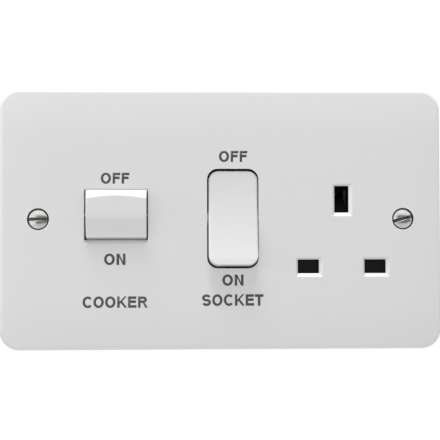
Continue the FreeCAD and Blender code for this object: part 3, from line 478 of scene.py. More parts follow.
def loop(half_x, half_z, corner, steps=12, straight=14):
    """Points of a rounded rectangle, anticlockwise seen from the front: four arcs and what joins them."""
    arcs = []
    for turn, (sx, sz) in enumerate(((1, 1), (-1, 1), (-1, -1), (1, -1))):
        angle = np.pi / 2 * (turn + np.linspace(0, 1, steps + 1))
        middle = np.array((sx * (half_x - corner), sz * (half_z - corner)))
        arcs.append(middle + corner * circle(angle))
    sides = []
    for arc, after in zip(arcs, arcs[1:] + arcs[:1]):
        share = np.linspace(0, 1, straight + 1)[1:-1, None]
        sides += [arc, arc[-1] + (after[0] - arc[-1]) * share]
    return np.concatenate(sides)


def spun(profile, centre, axis, steps=40):
    """Surface of revolution: a profile of (radius, height) turned about an axis (0 X, 1 Y, 2 Z)."""
    angle = np.linspace(0, 2 * np.pi, steps, endpoint=False)
    radius, height = np.array(profile, float).T
    grid = np.empty((len(radius), steps, 3))
    grid[..., axis] = height[:, None]
    grid[..., (axis + 1) % 3] = radius[:, None] * np.cos(angle)
    grid[..., (axis + 2) % 3] = radius[:, None] * np.sin(angle)
    return grid + np.array(centre)


def ease(value):
    """A smooth step from 0 to 1."""
    value = np.clip(value, 0, 1)
    return value * value * (3 - 2 * value)


RIM_STEPS = 10
FACE_STEPS = 26
FLARE_START = 0.6


def cap(half_x, walls, nose, corner, face, rim, hollow, roof, flare=0.0):
    """Rings of a rocker: from the hollow's middle out to its edge, round the skirt, up the walls given as
    (y, half height), to the mouth at half height nose(x, z), over the rim by a quarter turn of radius
    rim(x, z), then across the face y = face(x, z) to its middle. The upper end of the walls widens by flare
    from the mouth down to the pivot."""
    skirt, end = walls[0]
    outer = loop(half_x, end, corner)
    inner = loop(*hollow, corner / 2)
    reach = nose(outer[:, 0], outer[:, 1])
    mouth = outer * np.stack([np.ones_like(reach), reach / end], axis=-1)
    radius = rim(mouth[:, 0], mouth[:, 1])
    rows = []

    def ring(flat, y):
        rows.append(np.stack([flat[:, 0], np.broadcast_to(y, len(flat)), flat[:, 1]], axis=-1))

    ring(inner * 0, roof)
    ring(inner, roof)
    ring(inner, skirt)
    widen = flare / half_x * ease((outer[:, 1] / end - FLARE_START) / (1 - FLARE_START))
    for y, half in walls:
        across = 1 + widen * ease(1 - y / walls[-1][0])
        ring(outer * np.stack([across, np.full_like(across, half / end)], axis=-1), y)
    halves = np.stack([np.full_like(reach, half_x), reach], axis=-1)
    for turn in np.linspace(0, np.pi / 2, RIM_STEPS):
        inwards = (radius * (1 - np.cos(turn)))[:, None]
        flat = mouth * (1 - inwards / halves)
        ring(flat, face(flat[:, 0], flat[:, 1]) + radius * (1 - np.sin(turn)))
    rest = rows[-1][:, [0, 2]]
    for share in np.linspace(1, 0, FACE_STEPS)[1:]:
        flat = rest * share
        ring(flat, face(flat[:, 0], flat[:, 1]))
    return np.stack(rows)


def set_in(grid, pivot, tilt):
    """Turns points about X by a tilt and moves them to the pivot, from millimetres to metres."""
    c, s = math.cos(tilt), math.sin(tilt)
    turn = np.array(((1, 0, 0), (0, c, -s), (0, s, c)))
    return (grid @ turn.T + pivot) * MM


TRUNNION = 1.3
PIN_SOFT = 0.25
BARREL, BORE, BARREL_END, BARREL_SOFT = 2.6, 1.75, 8.0, 0.2


def trunnions(radius, start, end, neck=()):
    """Two round pins along X with softened ends, and a thinner neck where its radius and span are given."""
    waist = []
    if neck:
        thin, low, high = neck
        waist = [(radius, low), (thin, low), (thin, high), (radius, high)]
    tip = [(radius, end - PIN_SOFT), (radius - PIN_SOFT, end), (0, end)]
    profile = np.array([(0, start), (radius, start), *waist, *tip])
    return [spun(profile * (1, side), (0, 0, 0), 0) for side in (1, -1)]


def barrels(pole, roof):
    """Two tubes for the plungers, from inside the roof backwards, with softened ends."""
    shoulder = BARREL_END - BARREL_SOFT
    outside = [(BARREL, roof - 0.3), (BARREL, shoulder), (BARREL - BARREL_SOFT, BARREL_END)]
    inside = [(BORE + BARREL_SOFT, BARREL_END), (BORE, shoulder), (BORE, roof), (0, roof)]
    profile = outside + inside
    return [spun(profile, (side * pole, 0, 0), 1) for side in (-1, 1)]


def rocker(name, grids, pivot, tilt):
    """A finished rocker in its place, which takes over from its solid."""
    placed = [(set_in(grid, pivot, tilt), True) for grid in grids]
    made = piece(name + "_visual", placed, name, "rocker_white")
    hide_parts(name)


# %% [markdown]
# The cooker rocker is roof shaped, with a round ridge and a slight belly below it. It stands switched on:
# its upper half stands out, parallel to the plate, and its lower half dips into it. Its upper end widens a
# little towards the plate, and its trunnions are thin where they cross the gap, so that the gap stays dark.

# %% Cooker rocker
COOKER_PIVOT = np.array((-34.9, -6.0, 1.5))
COOKER_TILT = math.radians(13.5)
COOKER_HALF, COOKER_SWING, COOKER_NOSE, COOKER_ARCH = 9.95, 8.45, 7.75, 1.0
RIDGE, RIDGE_ROUND, BELLY, BELLY_START, BELLY_END = 6.27, 12.0, 0.75, 0.8, 7.4
BELLY_DROP = 1.8
COOKER_CORNER, COOKER_SKIRT, COOKER_MOUTH = 0.5, 1.2, -3.1
COOKER_HOLLOW, COOKER_ROOF, COOKER_POLE = (8.35, 5.5), -2.97, 6.0
COOKER_PIN, COOKER_NECK = (8.35, 12.1), (0.6, 9.6, 10.9)
COOKER_PLAY = (0.24, 0.045, 0.17)
COOKER_FLARE, COOKER_SHORT = 0.32, 0.95
COOKER_RIM, COOKER_RIM_TOP, COOKER_RIM_LOW = 0.35, 0.4, 0.1


def roof_face(x, z):
    """Two slopes that meet in a round ridge: an arc that touches both, and the slopes beyond it. The lower
    half has a belly: it lies most of the way from the lower slope to a parabola that leaves the upper slope
    smoothly."""
    rise = math.tan(COOKER_TILT)
    centre = RIDGE_ROUND / math.cos(COOKER_TILT) - RIDGE
    touch = RIDGE_ROUND * math.sin(COOKER_TILT)
    arc = centre - np.sqrt(RIDGE_ROUND ** 2 - np.minimum(np.abs(z), touch) ** 2)
    roof = np.where(np.abs(z) < touch, arc, np.abs(z) * rise - RIDGE)
    below = np.maximum(BELLY_START - z, 0)
    length = BELLY_START + BELLY_END
    parabola = z * rise - RIDGE + BELLY_DROP * rise * BELLY_END * (below / length) ** 2
    return np.where(z < touch, roof + BELLY * (parabola - roof), roof)


def cooker_nose(x, z):
    """Half height of the face: arched along the top, highest in the middle, and shorter below."""
    arch = COOKER_ARCH * ease(z / COOKER_SWING * 2 - 1) * (x / COOKER_HALF) ** 2
    return COOKER_NOSE - arch - COOKER_SHORT * ease(-z / COOKER_SWING)


def cooker_rim(x, z):
    """Wide and soft along the top, narrow along the sides and narrower along the bottom."""
    top = COOKER_RIM_TOP * ease(z / COOKER_SWING * 2 - 1)
    return COOKER_RIM + top - COOKER_RIM_LOW * ease(-z / COOKER_SWING)


wall_y = np.linspace(COOKER_SKIRT, COOKER_MOUTH, 9)
walls = [(y, math.sqrt(COOKER_SWING ** 2 - y ** 2)) for y in wall_y]
shell = cap(COOKER_HALF, walls, cooker_nose, COOKER_CORNER, roof_face, cooker_rim, COOKER_HOLLOW,
            COOKER_ROOF, COOKER_FLARE)
pins = trunnions(TRUNNION, *COOKER_PIN, COOKER_NECK)
cooker_grids = [shell + COOKER_PLAY] + pins + barrels(COOKER_POLE, COOKER_ROOF)
rocker("cooker_rocker", cooker_grids, COOKER_PIVOT, COOKER_TILT)

# %% [markdown]
# The socket rocker is a tall paddle with a dished face, so that a finger finds its ends. It stands switched
# off: its top lies inside the plate and its lower end stands out. Two bosses centre it between the cheeks.

# %% Socket rocker
SWITCH_PIVOT = np.array((3.75, -6.0, 0.15))
SWITCH_TILT = math.radians(-6.5)
SWITCH_HALF, SWITCH_NOSE, SWITCH_CORNER = 8.15, 15.7, 3.25
SWITCH_WALLS = [(1.2, 15.95), (-0.6, 15.95)]
SWITCH_HOLLOW, SWITCH_ROOF, SWITCH_POLE = (6.55, 12.5), -1.72, 4.0
SWITCH_PIN, SWITCH_BOSS, BOSS_PIN = (7.3, 10.3), 2.2, (7.3, 8.4)
DISH_RADIUS, DISH_EDGE, DISH_ROLL = 105.0, 4.5, 0.15
SWITCH_RIM, SWITCH_RIM_LOW, SWITCH_LONGER, SWITCH_SHORTER = 0.8, 0.5, 0.2, 0.25
SWITCH_PLAY = (0.12, 0, 0)


def dish_face(x, z):
    """A hollow cylinder along X whose ends reach the edge; the lower end rolls off a little."""
    dish = np.sqrt(DISH_RADIUS ** 2 - z ** 2) - math.sqrt(DISH_RADIUS ** 2 - SWITCH_NOSE ** 2) - DISH_EDGE
    return dish + DISH_ROLL * ease((-z - 13.7) / 2.0)


def switch_rim(x, z):
    """The same all round, but less than half of that along the lower end."""
    return SWITCH_RIM - SWITCH_RIM_LOW * ease((-z - 11.0) / 4.0)


def switch_nose(x, z):
    """Half height of the face, which reaches a little further below than above."""
    below, above = SWITCH_LONGER * ease(-z / SWITCH_NOSE), SWITCH_SHORTER * ease(z / SWITCH_NOSE)
    return SWITCH_NOSE + below - above


shell = cap(SWITCH_HALF, SWITCH_WALLS, switch_nose, SWITCH_CORNER, dish_face, switch_rim, SWITCH_HOLLOW,
            SWITCH_ROOF)
pins = trunnions(SWITCH_BOSS, *BOSS_PIN) + trunnions(TRUNNION, *SWITCH_PIN)
switch_grids = [shell + SWITCH_PLAY] + pins + barrels(SWITCH_POLE, SWITCH_ROOF)
rocker("socket_rocker", switch_grids, SWITCH_PIVOT, SWITCH_TILT)

# %% [markdown]
# ## Fixing screws
# Two raised countersunk screws hold the unit to its wall box. A screw head would be turned and then
# slotted. Here the head is drawn in straight lines across the slot: each line spans the head, and the ones
# inside the slot lie at its floor and get a darker, rougher finish, whose darker colour is painted shade.
# The thread is one surface of angle and length whose radius rises and falls once per pitch and once per
# turn.

# %% Fixing screws
HEAD, HEAD_TOP, DOME, SEAT = 3.1, -8.45, 0.8, -7.15
NECK, SHANK, REACH, PITCH = 1.5, 1.75, 21.0, 0.6
SLOT_HALF, SLOT_DEPTH = 0.5, 1.3
SCREW_PITCH = 120.6
SLOT_TURNS = {-1: 0.0, 1: 15.0}


def head_grid():
    """The top of the head: lines along the slot, each from edge to edge of the disc that it crosses."""
    sphere = (HEAD ** 2 + DOME ** 2) / (2 * DOME)
    crest = HEAD_TOP - DOME
    floor_y = crest + SLOT_DEPTH
    floor_radius = HEAD + (NECK - HEAD) * (floor_y - HEAD_TOP) / (SEAT - HEAD_TOP)
    soft = 0.08
    side = HEAD * np.sin(np.linspace(0, np.pi / 2, 14))
    side = np.concatenate([[SLOT_HALF, SLOT_HALF + soft], side[side > SLOT_HALF + 2 * soft]])
    inside = np.linspace(-SLOT_HALF, SLOT_HALF, 5)
    across = np.concatenate([-side[::-1], inside, side])
    deep = np.concatenate([np.zeros(len(side)), np.ones(5), np.zeros(len(side))]).astype(bool)
    limit = np.where(deep, floor_radius, HEAD)
    along = np.linspace(-1, 1, 31) * np.sqrt(np.maximum(limit ** 2 - across ** 2, 0))[:, None]
    span = np.hypot(along, across[:, None])
    lip = soft * (np.abs(np.abs(across) - SLOT_HALF) < 1e-9)[:, None]
    dome = crest + sphere - np.sqrt(sphere ** 2 - span ** 2) + lip
    height = np.where(deep[:, None], floor_y, dome)
    return np.stack([along, height, np.broadcast_to(across[:, None], along.shape)], axis=-1)


def below_head(edge):
    """From the edge of the head down the cone to the neck, and along the neck."""
    angle = np.arctan2(edge[:, 2], edge[:, 0])
    round_edge = np.stack([np.cos(angle), np.zeros_like(angle), np.sin(angle)], axis=-1)
    neck = NECK * round_edge
    return np.stack([edge, neck + (0, SEAT, 0), neck, round_edge * 0])


def thread(steps=24, per_pitch=8):
    """Radius = root + depth times a triangle wave of (length over pitch less angle over a turn), which
    fades out at both ends."""
    depth = 0.3
    length = np.linspace(0, REACH, int(REACH / PITCH * per_pitch) + 1)
    angle = np.linspace(0, 2 * np.pi, steps, endpoint=False)
    phase = length[:, None] / PITCH - angle / (2 * np.pi)
    wave = 1 - np.abs(2 * (phase - np.floor(phase)) - 1)
    run_out = np.clip(np.minimum(length, REACH - length) / PITCH, 0, 1)[:, None]
    radius = SHANK - depth + depth * np.where(run_out < 1, run_out * wave, wave)
    level = np.broadcast_to(length[:, None], radius.shape)
    grid = np.stack([radius * np.cos(angle), level, radius * np.sin(angle)], axis=-1)
    return np.concatenate([grid[:1] * (0, 1, 0), grid, grid[-1:] * (0, 1, 0)])


def fixing_screw(side):
    """One screw at its place, turned about its own axis."""
    head = head_grid()
    edge = np.concatenate([head[:, 0], head[::-1, -1]])
    turn = math.radians(SLOT_TURNS[side])
    spin = np.array(((math.cos(turn), 0, -math.sin(turn)), (0, 1, 0), (math.sin(turn), 0, math.cos(turn))))
    place = np.array((side * SCREW_PITCH / 2, 0, 0))
    grids = [(head, False), (below_head(edge), True), (thread(), True)]
    return [((grid @ spin.T + place) * MM, wrap) for grid, wrap in grids]


def darken_slots(made, material):
    """Paints shade on the faces that lie in the slots, below the domes of the heads: they get a second,
    darker finish.
    """
    mesh = made.data
    middle = np.empty(len(mesh.polygons) * 3)
    mesh.polygons.foreach_get("center", middle)
    middle = middle.reshape(-1, 3) / MM
    place = np.where(middle[:, 0] > 0, 1, -1) * SCREW_PITCH / 2
    turn = np.radians(np.where(place > 0, SLOT_TURNS[1], SLOT_TURNS[-1]))
    across = middle[:, 2] * np.cos(turn) - (middle[:, 0] - place) * np.sin(turn)
    in_slot = (np.abs(across) < SLOT_HALF + 0.05) & (middle[:, 1] < SEAT)
    mesh.materials.append(material)
    mesh.polygons.foreach_set("material_index", in_slot.astype(np.int32))


screw_grids = fixing_screw(-1) + fixing_screw(1)
screws = piece("fixing_screws_visual", screw_grids, "unit", "screw_steel")
# Painted shade: a darker steel for the faces inside the slots, where shade falls
slot_painted_shade_steel = finish(
    "slot_painted_shade_steel", (0.36, 0.36, 0.35), (0.15, 0.15, 0.147), 700, (0.3, 0.5), 900, 1e-5, 3000, 1.0)
darken_slots(screws, slot_painted_shade_steel)
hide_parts("fixing_screws")

# %% [markdown]
# ## Springs
# Each plunger is pushed out of its barrel by a coil spring, and a fifth spring brings the shutter back. A
# spring is wound from wire: a small circle carried along a helix, with its first and last turns closed so
# that it stands straight. Each plunger spring rides with its rocker, and the shutter spring with the unit.

# %% Wind the springs
WIRE, TURNS, CLOSED = 0.225, 5.5, 0.8
PLUNGER_COIL, STROKE = 1.25, {"tail": 5.0, "travel": 1.2}
SHUTTER_COIL, SHUTTER_FOOT, SHUTTER_HEAD, SHUTTER_TRAVEL = 0.8, -8.0, 1.5, 5.7


def spring(coil, low, high, axis):
    """A circle of the wire's radius carried along a helix, which climbs evenly between its closed ends."""
    turn = np.linspace(0, TURNS, int(TURNS * 28) + 1)
    around = np.linspace(0, 2 * np.pi, 10, endpoint=False)
    closed = np.minimum(turn, CLOSED) + np.maximum(turn - TURNS + CLOSED, 0)
    climb = (turn - closed) / (TURNS - 2 * CLOSED)
    dead = 2 * WIRE * closed
    free = high - low - 2 * WIRE - dead[-1]
    path = low + WIRE + dead + free * climb
    size = np.full(len(turn), WIRE)
    size[[0, -1]] = 0
    radius = coil + size[:, None] * np.cos(around)
    grid = np.empty((len(turn), len(around), 3))
    grid[..., axis] = path[:, None] + size[:, None] * np.sin(around)
    grid[..., (axis + 1) % 3] = radius * np.cos(2 * np.pi * turn)[:, None]
    grid[..., (axis + 2) % 3] = radius * np.sin(2 * np.pi * turn)[:, None]
    return np.concatenate([grid[:1], grid[:1], grid[1:-1], grid[-1:]])


def plunger_springs(switch, pivot, tilt, line_pole, roof, tail, travel):
    """The two springs of a switch, from the roof of its rocker to the tails of its plungers."""
    for name, pole in (("line", line_pole), ("neutral", -line_pole)):
        node = f"{switch}_spring_{name}"
        grid = set_in(spring(PLUNGER_COIL, roof, tail, 1) + (pole, 0, 0), pivot, tilt)
        made = piece(node + "_visual", [(grid, True)], switch + "_rocker", "spring_steel")
        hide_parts(node)
        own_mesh(made)


plunger_springs("cooker", COOKER_PIVOT, COOKER_TILT, COOKER_POLE, COOKER_ROOF, **STROKE)
plunger_springs("socket", SWITCH_PIVOT, SWITCH_TILT, -SWITCH_POLE, SWITCH_ROOF, **STROKE)
grid = (spring(SHUTTER_COIL, SHUTTER_FOOT, SHUTTER_HEAD, 2) + (39.6, -4.8, 0)) * MM
made = piece("shutter_spring_visual", [(grid, True)], "unit", "spring_steel")
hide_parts("shutter_spring")
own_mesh(made)

# %% [markdown]
# ## Front plate
# The plate is one urea moulding: a crowned front, a soft edge all round, openings for the switches and the
# plug, and screw pillars behind. We lay a grid of straight lines over it, take out a block of cells round
# each opening, and fill each block with rings that run from its border to the opening, down its bevel and
# wall, and back out to the same border on the rear. The same rings carry the outer border over the edge
# and round the rim, so the front, the back and every wall are one closed skin.

# %% Front plate
PLATE_FRONT, SKIN_BACK = -9.0, -6.4
PLATE_X, PLATE_Z, PLATE_CORNER = 73.0, 43.0, 6.5
EDGE_ROUND, RIM_WALL, RIM_SOFT = 1.3, 2.4, 0.15
FLAT_X, FLAT_Z, CROWN_RADIUS = 57.0, 27.0, 213.63
INNER_X, INNER_Z = 66.0, 38.0
GRID_STEP = 1.1
SOFT = 0.14
RECESS, SCREW_BORE, PILLAR = 3.6, 2.0, 4.8
# Pivot, start and end of the trunnion grooves, measured from the pivot
GROOVES = ((COOKER_PIVOT, 9.0, 12.5), (SWITCH_PIVOT, 7.5, 10.7))
GROOVE_DEEP, GROOVE_FLOOR, GROOVE_SIDE, GROOVE_END = 1.08, 0.6, 1.3, 0.6


def crown(x, z):
    """Depth of the front: level in the middle, then an arc of one radius towards each edge."""
    over_x = np.maximum(np.abs(x) - FLAT_X, 0)
    over_z = np.maximum(np.abs(z) - FLAT_Z, 0)
    arcs = np.sqrt(CROWN_RADIUS ** 2 - over_x ** 2) + np.sqrt(CROWN_RADIUS ** 2 - over_z ** 2)
    return PLATE_FRONT + 2 * CROWN_RADIUS - arcs


def rear(x, z):
    """Depth of the back: level, with a groove for each trunnion beside the two switch openings."""
    depth = np.full_like(x, SKIN_BACK)
    for pivot, start, end in GROOVES:
        along = np.abs(x - pivot[0])
        across = 1 - ease((np.abs(z - pivot[2]) - GROOVE_FLOOR) / GROOVE_SIDE)
        depth = depth - GROOVE_DEEP * across * (along > start) * (1 - ease((along - end) / GROOVE_END))
    return depth


def side_points(half_along, half_across, corner, count):
    """Lower side of a rounded rectangle, from the middle of one corner to the middle of the next, with
    points that crowd towards the corners."""
    arc = corner * np.pi / 4
    straight = 2 * (half_along - corner)
    way = (2 * arc + straight) * (0.5 - 0.5 * np.cos(np.pi * np.arange(count) / count))
    first = np.pi * 5 / 4 + np.minimum(way, arc) / corner
    last = np.pi * 3 / 2 + np.maximum(way - arc - straight, 0) / corner
    level = np.array((corner - half_along, corner - half_across))
    middle = level + np.stack([np.clip(way - arc, 0, straight), np.full(count, -corner)], axis=-1)
    points = np.where((way < arc)[:, None], level + circle(first) * corner, middle)
    return np.where((way > arc + straight)[:, None], level * (-1, 1) + circle(last) * corner, points)


def outline(half_x, half_z, corner, count_x, count_z):
    """A rounded rectangle as four sides, each turned a quarter from the one before."""
    sides = []
    turn = np.eye(2)
    quarter = np.array(((0, -1), (1, 0)))
    for side in range(4):
        spans = (half_x, half_z) if side % 2 == 0 else (half_z, half_x)
        sides.append(side_points(*spans, corner, count_z if side % 2 else count_x) @ turn.T)
        turn = quarter @ turn
    return np.concatenate(sides)


def border(lines_x, lines_z):
    """The outline of a block of cells, in the same order as outline()."""
    low = np.stack([lines_x, np.full_like(lines_x, lines_z[0])], axis=-1)
    right = np.stack([np.full_like(lines_z, lines_x[-1]), lines_z], axis=-1)
    high = np.stack([lines_x, np.full_like(lines_x, lines_z[-1])], axis=-1)[::-1]
    left = np.stack([np.full_like(lines_z, lines_x[0]), lines_z], axis=-1)[::-1]
    return np.concatenate([low[:-1], right[:-1], high[:-1], left[:-1]])


def bend(start, corner, end, count=5):
    """A soft corner: the curve that leaves start and reaches end along the lines to the corner."""
    share = np.linspace(0, 1, count)[:, None]
    first, middle, last = (1 - share) ** 2, 2 * share * (1 - share), share ** 2
    return first * np.array(start) + middle * np.array(corner) + last * np.array(end)


def bevelled(bevel, deep, lean=(0.0, 0.0)):
    """Rows (offsets and shifts in X and Z, depth) of an opening: a soft edge, a bevel, a soft foot and a
    wall that leans back a little; the bevel's outer edge is shifted by lean."""
    top, foot = PLATE_FRONT, PLATE_FRONT + deep
    lip = 0.1
    upper = bend((bevel + SOFT, top), (bevel, top), (bevel * (1 - lip), top + deep * lip))
    lower = bend((bevel * lip, foot - deep * lip), (0, foot), (0.07, foot + SOFT))
    grow, depth = np.concatenate([upper, lower, [(0.25, SKIN_BACK)]]).T
    share = np.minimum(grow / bevel, 1) if bevel else grow * 0
    return np.stack([grow, grow, share * lean[0], share * lean[1], depth], axis=-1)


def cooker_opening(middle, half):
    """Rows of the cooker switch's opening. Its top is a thin lip that is cut away behind, so that the
    rocker swings clear of it; its bottom is a bevel; its sides lean back."""
    lip, relief, relief_deep = 9.7, 10.25, 0.8
    edge, foot, foot_deep = 8.1, 6.82, 1.7
    nick, back = 0.05, SKIN_BACK - PLATE_FRONT
    deep = np.array((0, nick, SOFT, 2 * SOFT, 0.45, relief_deep, 1.55, foot_deep, foot_deep + SOFT, back))
    top_deep, top_z = (0, nick, SOFT, 2 * SOFT, relief_deep), (lip + SOFT, lip + nick, lip, lip, relief)
    top = np.interp(deep, top_deep, top_z)
    bottom = -np.interp(deep, (0, nick, foot_deep, back), (edge + SOFT, edge, foot, foot + 0.2))
    side = np.interp(deep, (0, nick, SOFT, back), (SOFT, nick, 0.0, 0.25))
    grow_z, shift_z = (top - bottom) / 2 - half, (top + bottom) / 2 - middle
    return np.stack([side, grow_z, side * 0, shift_z, PLATE_FRONT + deep], axis=-1)


def screw_hole():
    """Rows of a screw hole: recess, cone and bore, then round the end of its pillar and back along it."""
    edge = bend((RECESS + SOFT, PLATE_FRONT), (RECESS, PLATE_FRONT), (RECESS, PLATE_FRONT + SOFT))
    recess = [(RECESS, -8.9), (RECESS, -8.3), (3.45, -8.15), (3.35, -8.15)]
    bore = [(SCREW_BORE, -7.0), (SCREW_BORE, 0.0)]
    pillar = [(PILLAR, 0.0), (PILLAR, SKIN_BACK)]
    return [(r - RECESS, r - RECESS, 0, 0, y) for r, y in np.concatenate([edge, recess, bore, pillar])]


SLOT_ROWS = bevelled(0.95, 0.85, (0.28, -0.3))
# Middle, half sizes, corner, margins of its block in X and Z, rows
OPENINGS = {
    "cooker": ((-34.72, 1.42), (10.45, 8.225), 0.3, 3.0, 3.4, cooker_opening(1.42, 8.225)),
    "switch": ((3.75, 0.15), (8.5, 16.45), 3.6, 3.0, 3.0, bevelled(0.0, SOFT)),
    "neutral": ((28.76, -15.7), (3.475, 2.225), 0.2, 2.5, 2.5, SLOT_ROWS),
    "line": ((50.99, -15.7), (3.475, 2.225), 0.2, 2.5, 2.5, SLOT_ROWS),
    "earth": ((39.87, 6.53), (2.3, 4.375), 0.2, 2.7, 2.5, SLOT_ROWS),
    "left_screw": ((-SCREW_PITCH / 2, 0.0), (RECESS, RECESS), RECESS, 1.5, 1.5, screw_hole()),
    "right_screw": ((SCREW_PITCH / 2, 0.0), (RECESS, RECESS), RECESS, 1.5, 1.5, screw_hole()),
}


def grid_lines(edges):
    """Lines through all edges, with more between them so that none are far apart."""
    edges = np.unique(np.round(edges, 4))
    parts = [
        np.linspace(low, high, max(2, int(np.ceil((high - low) / GRID_STEP)) + 1))[:-1]
        for low, high in zip(edges[:-1], edges[1:])
    ]
    return np.concatenate(parts + [edges[-1:]])


def on_level(flat, depth):
    """Points of the plate from places in X and Z and a depth."""
    return np.stack([flat[..., 0], depth, flat[..., 1]], axis=-1)


def on_front(flat):
    """Points of the front over places in X and Z."""
    return on_level(flat, crown(flat[..., 0], flat[..., 1]))


def on_back(flat):
    """Points of the back over places in X and Z."""
    return on_level(flat, rear(flat[..., 0], flat[..., 1]))


def between_rings(start, end, count):
    """Flat rings from one outline to another, without the first and the last."""
    share = np.linspace(0, 1, count + 2)[1:-1, None, None]
    return start + (end - start) * share


def closed_skin(frame_line, rings, front_count, back_count):
    """A grid from a border on the front to the first ring, along the rings, and behind to the border."""
    first, last = rings[0][:, [0, 2]], rings[-1][:, [0, 2]]
    front = np.concatenate([frame_line[None], between_rings(frame_line, first, front_count)])
    back = np.concatenate([between_rings(last, frame_line, back_count), frame_line[None]])
    return np.concatenate([on_front(front), np.stack(rings), on_back(back)]), True


def block_of(name):
    """The span of cells that an opening takes out of the grid."""
    (x, z), (half_x, half_z), corner, margin_x, margin_z, rows = OPENINGS[name]
    return (x - half_x - margin_x, x + half_x + margin_x), (z - half_z - margin_z, z + half_z + margin_z)


def plate_grids():
    """All the grids of the plate: front, back, one for each opening, and one for the rim."""
    blocks = [block_of(name) for name in OPENINGS]
    lines_x = grid_lines([-INNER_X, INNER_X] + [edge for block in blocks for edge in block[0]])
    lines_z = grid_lines([-INNER_Z, INNER_Z] + [edge for block in blocks for edge in block[1]])
    flat = np.stack(np.meshgrid(lines_x, lines_z), axis=-1)
    middle = (flat[:-1, :-1] + flat[1:, 1:]) / 2
    x, z = middle[..., 0], middle[..., 1]
    keep = np.ones(x.shape, bool)
    for (x0, x1), (z0, z1) in blocks:
        keep &= (x < x0) | (x > x1) | (z < z0) | (z > z1)
    grids = [(on_front(flat), False, keep), (on_back(flat), False, keep)]
    for name, (span_x, span_z) in zip(OPENINGS, blocks):
        centre, (half_x, half_z), corner, *margins, rows = OPENINGS[name]
        in_x = lines_x[(lines_x > span_x[0] - 1e-3) & (lines_x < span_x[1] + 1e-3)]
        in_z = lines_z[(lines_z > span_z[0] - 1e-3) & (lines_z < span_z[1] + 1e-3)]
        counts = (len(in_x) - 1, len(in_z) - 1)
        round_one = half_x == corner
        rings = []
        for dx, dz, shift_x, shift_z, depth in rows:
            bent = corner + dx if round_one else corner
            ring = outline(half_x + dx, half_z + dz, bent, *counts) + centre + (shift_x, shift_z)
            rings.append(on_level(ring, np.full(len(ring), depth)))
        rings[-1] = on_back(rings[-1][:, [0, 2]])
        grids.append(closed_skin(border(in_x, in_z), rings, 4, 5))
    counts = (len(lines_x) - 1, len(lines_z) - 1)

    def rim_ring(grow, depth):
        ring = outline(PLATE_X - grow, PLATE_Z - grow, PLATE_CORNER - grow, *counts)
        return on_level(ring, np.broadcast_to(depth, len(ring)))

    inset = rim_ring(EDGE_ROUND, 0.0)
    start = crown(inset[:, 0], inset[:, 2])
    rings = []
    for turn in np.linspace(0, np.pi / 2, 9):
        depth = start + EDGE_ROUND * (1 - math.cos(turn))
        rings.append(rim_ring(EDGE_ROUND * (1 - math.sin(turn)), depth))
    foot = [(0, -RIM_SOFT), (RIM_SOFT, 0.0)]
    inside = [(RIM_WALL - RIM_SOFT, 0.0), (RIM_WALL, -RIM_SOFT), (RIM_WALL, SKIN_BACK)]
    rings += [rim_ring(grow, depth) for grow, depth in foot + inside]
    grids.append(closed_skin(border(lines_x, lines_z), rings, 5, 3))
    return grids


def brick(x, y, z):
    """A closed block over three spans."""
    corners = np.array([(x[0], z[0]), (x[1], z[0]), (x[1], z[1]), (x[0], z[1])])
    middle = np.broadcast_to(corners.mean(axis=0), corners.shape)
    levels = ((middle, y[0]), (corners, y[0]), (corners, y[1]), (middle, y[1]))
    return np.stack([on_level(flat, np.full(4, depth)) for flat, depth in levels])


FITTING_ROOT = -6.7
BOSS_OUTSIDE = [(0, FITTING_ROOT), (3.3, FITTING_ROOT), (3.3, -3.6), (3.1, -3.4)]
BOSS_HOLE = [(1.4, -3.4), (1.4, -6.5), (0, -6.5)]
BOSS_X, BOSS_Z = (-34.9, 3.75, 39.6), (32.1, -30.6)
CHEEKS = ((COOKER_PIVOT, 10.75), (SWITCH_PIVOT, 8.55))
CHEEK_WALL, CHEEK_END = 1.9, -3.6


def plate_fittings():
    """What stands on the back of the plate: bosses for the base screws, and cheeks beside the rockers."""
    fittings = [spun(BOSS_OUTSIDE + BOSS_HOLE, (x, 0, z), 1) for x in BOSS_X for z in BOSS_Z]
    for pivot, near in CHEEKS:
        for side in (-1, 1):
            span = sorted((pivot[0] + side * near, pivot[0] + side * (near + CHEEK_WALL)))
            for low, high in ((1.6, 3.6), (-3.6, -1.6)):
                fittings.append(brick(span, (FITTING_ROOT, CHEEK_END), (pivot[2] + low, pivot[2] + high)))
    return [(grid, True) for grid in fittings]


plate_parts = [(grid * MM, *rest) for grid, *rest in plate_grids() + plate_fittings()]
plate = piece("front_plate_visual", plate_parts, "unit", "plate_white")
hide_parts("front_plate")

# %% [markdown]
# ## Painted shadow rings
# A thin near-black ring lies in each screw recess, between the bright head and the white plate. It is
# painted shade for the deep gap round each head.

# %% Painted shadow rings
# Painted shade: near-black rings that stand in for the shadow in the gap round each screw head
shadow_ring_paint = finish("shadow_ring_paint", grey(0.02), grey(0.012), 800, (0.6, 0.8), 900, 1e-5, 3000, 0.0, 0.2)
SHADOW_RING = [(3.0, -8.1), (3.57, -8.1), (3.57, -8.42), (3.0, -8.42), (3.0, -8.1)]
shadow_ring_grids = [(spun(SHADOW_RING, (side * SCREW_PITCH / 2, 0, 0), 1, 64) * MM, True) for side in (-1, 1)]
piece("painted_shadow_rings", shadow_ring_grids, "unit", "screw_steel", shadow_ring_paint)

# %% [markdown]
# ## Front card
# A bright screw head is only as interesting as what it mirrors. Photographers hang a dark card in front,
# and so do we: only mirrors can see it, and it gives each head a grey patch beside its slot.

# %% Front card
CARD_PLACE, CARD_X, CARD_Z = -0.62, (-0.25, 1.3), (-0.3, 0.3)


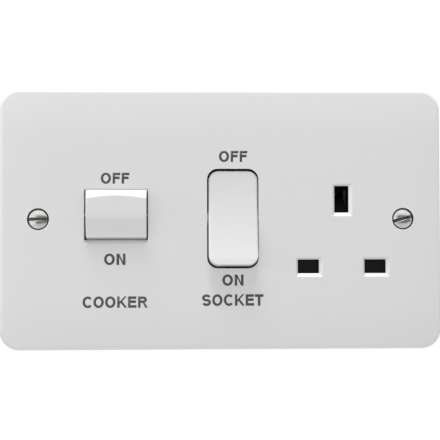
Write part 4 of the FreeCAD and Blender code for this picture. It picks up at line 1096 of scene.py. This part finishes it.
def sheet(name, paint_name, first, second, level, up, colour, roughness):
    """A painted flat sheet: two lists of lines cross at a level along the axis up (1 Y, 2 Z)."""
    points = np.insert(np.stack(np.meshgrid(first, second, indexing="ij"), axis=-1), up, level, axis=-1)
    paint = bpy.data.materials.new(paint_name)
    paint.use_nodes = True
    shader = paint.node_tree.nodes["Principled BSDF"]
    shader.inputs["Base Color"].default_value = (*colour, 1)
    shader.inputs["Roughness"].default_value = roughness
    mesh = bpy.data.meshes.new(name)
    mesh.from_pydata(points.reshape(-1, 3).tolist(), [], grid_faces(*points.shape[:2], False).tolist())
    mesh.materials.append(paint)
    made = bpy.data.objects.new(name, mesh)
    scene.collection.objects.link(made)
    return made


card = sheet("front_card", "card_paint", CARD_X, CARD_Z, CARD_PLACE, 1, grey(0.12), 0.9)
card.visible_camera = False
card.visible_diffuse = False
card.visible_shadow = False
card.visible_transmission = False
print("front card at mm:", CARD_PLACE / MM)

# %% [markdown]
# ## Floor
# A pale floor far below the unit takes its soft shadow and throws a little light back up. It fades out
# towards its rim, so that no edge shows against the white.

# %% Lay the floor
FLOOR_LEVEL = -0.26
FLOOR_RADIUS, FLOOR_FADE = 0.4, 0.6
floor_lines = np.linspace(-FLOOR_FADE, FLOOR_FADE, 9)
floor = sheet("floor", "floor_paint", floor_lines, floor_lines, FLOOR_LEVEL, 2, grey(0.5), 0.8)
tree = floor.active_material.node_tree
distance = tree.nodes.new("ShaderNodeVectorMath")
distance.operation = "LENGTH"
tree.links.new(tree.nodes.new("ShaderNodeTexCoord").outputs["Object"], distance.inputs[0])
fade = tree.nodes.new("ShaderNodeMapRange")
fade.inputs["From Min"].default_value = math.hypot(FLOOR_RADIUS, FLOOR_LEVEL)
fade.inputs["From Max"].default_value = math.hypot(FLOOR_FADE, FLOOR_LEVEL)
fade.inputs["To Min"].default_value = 1.0
fade.inputs["To Max"].default_value = 0.0
tree.links.new(distance.outputs["Value"], fade.inputs["Value"])
tree.links.new(fade.outputs["Result"], tree.nodes["Principled BSDF"].inputs["Alpha"])
print("floor at mm:", FLOOR_LEVEL / MM)
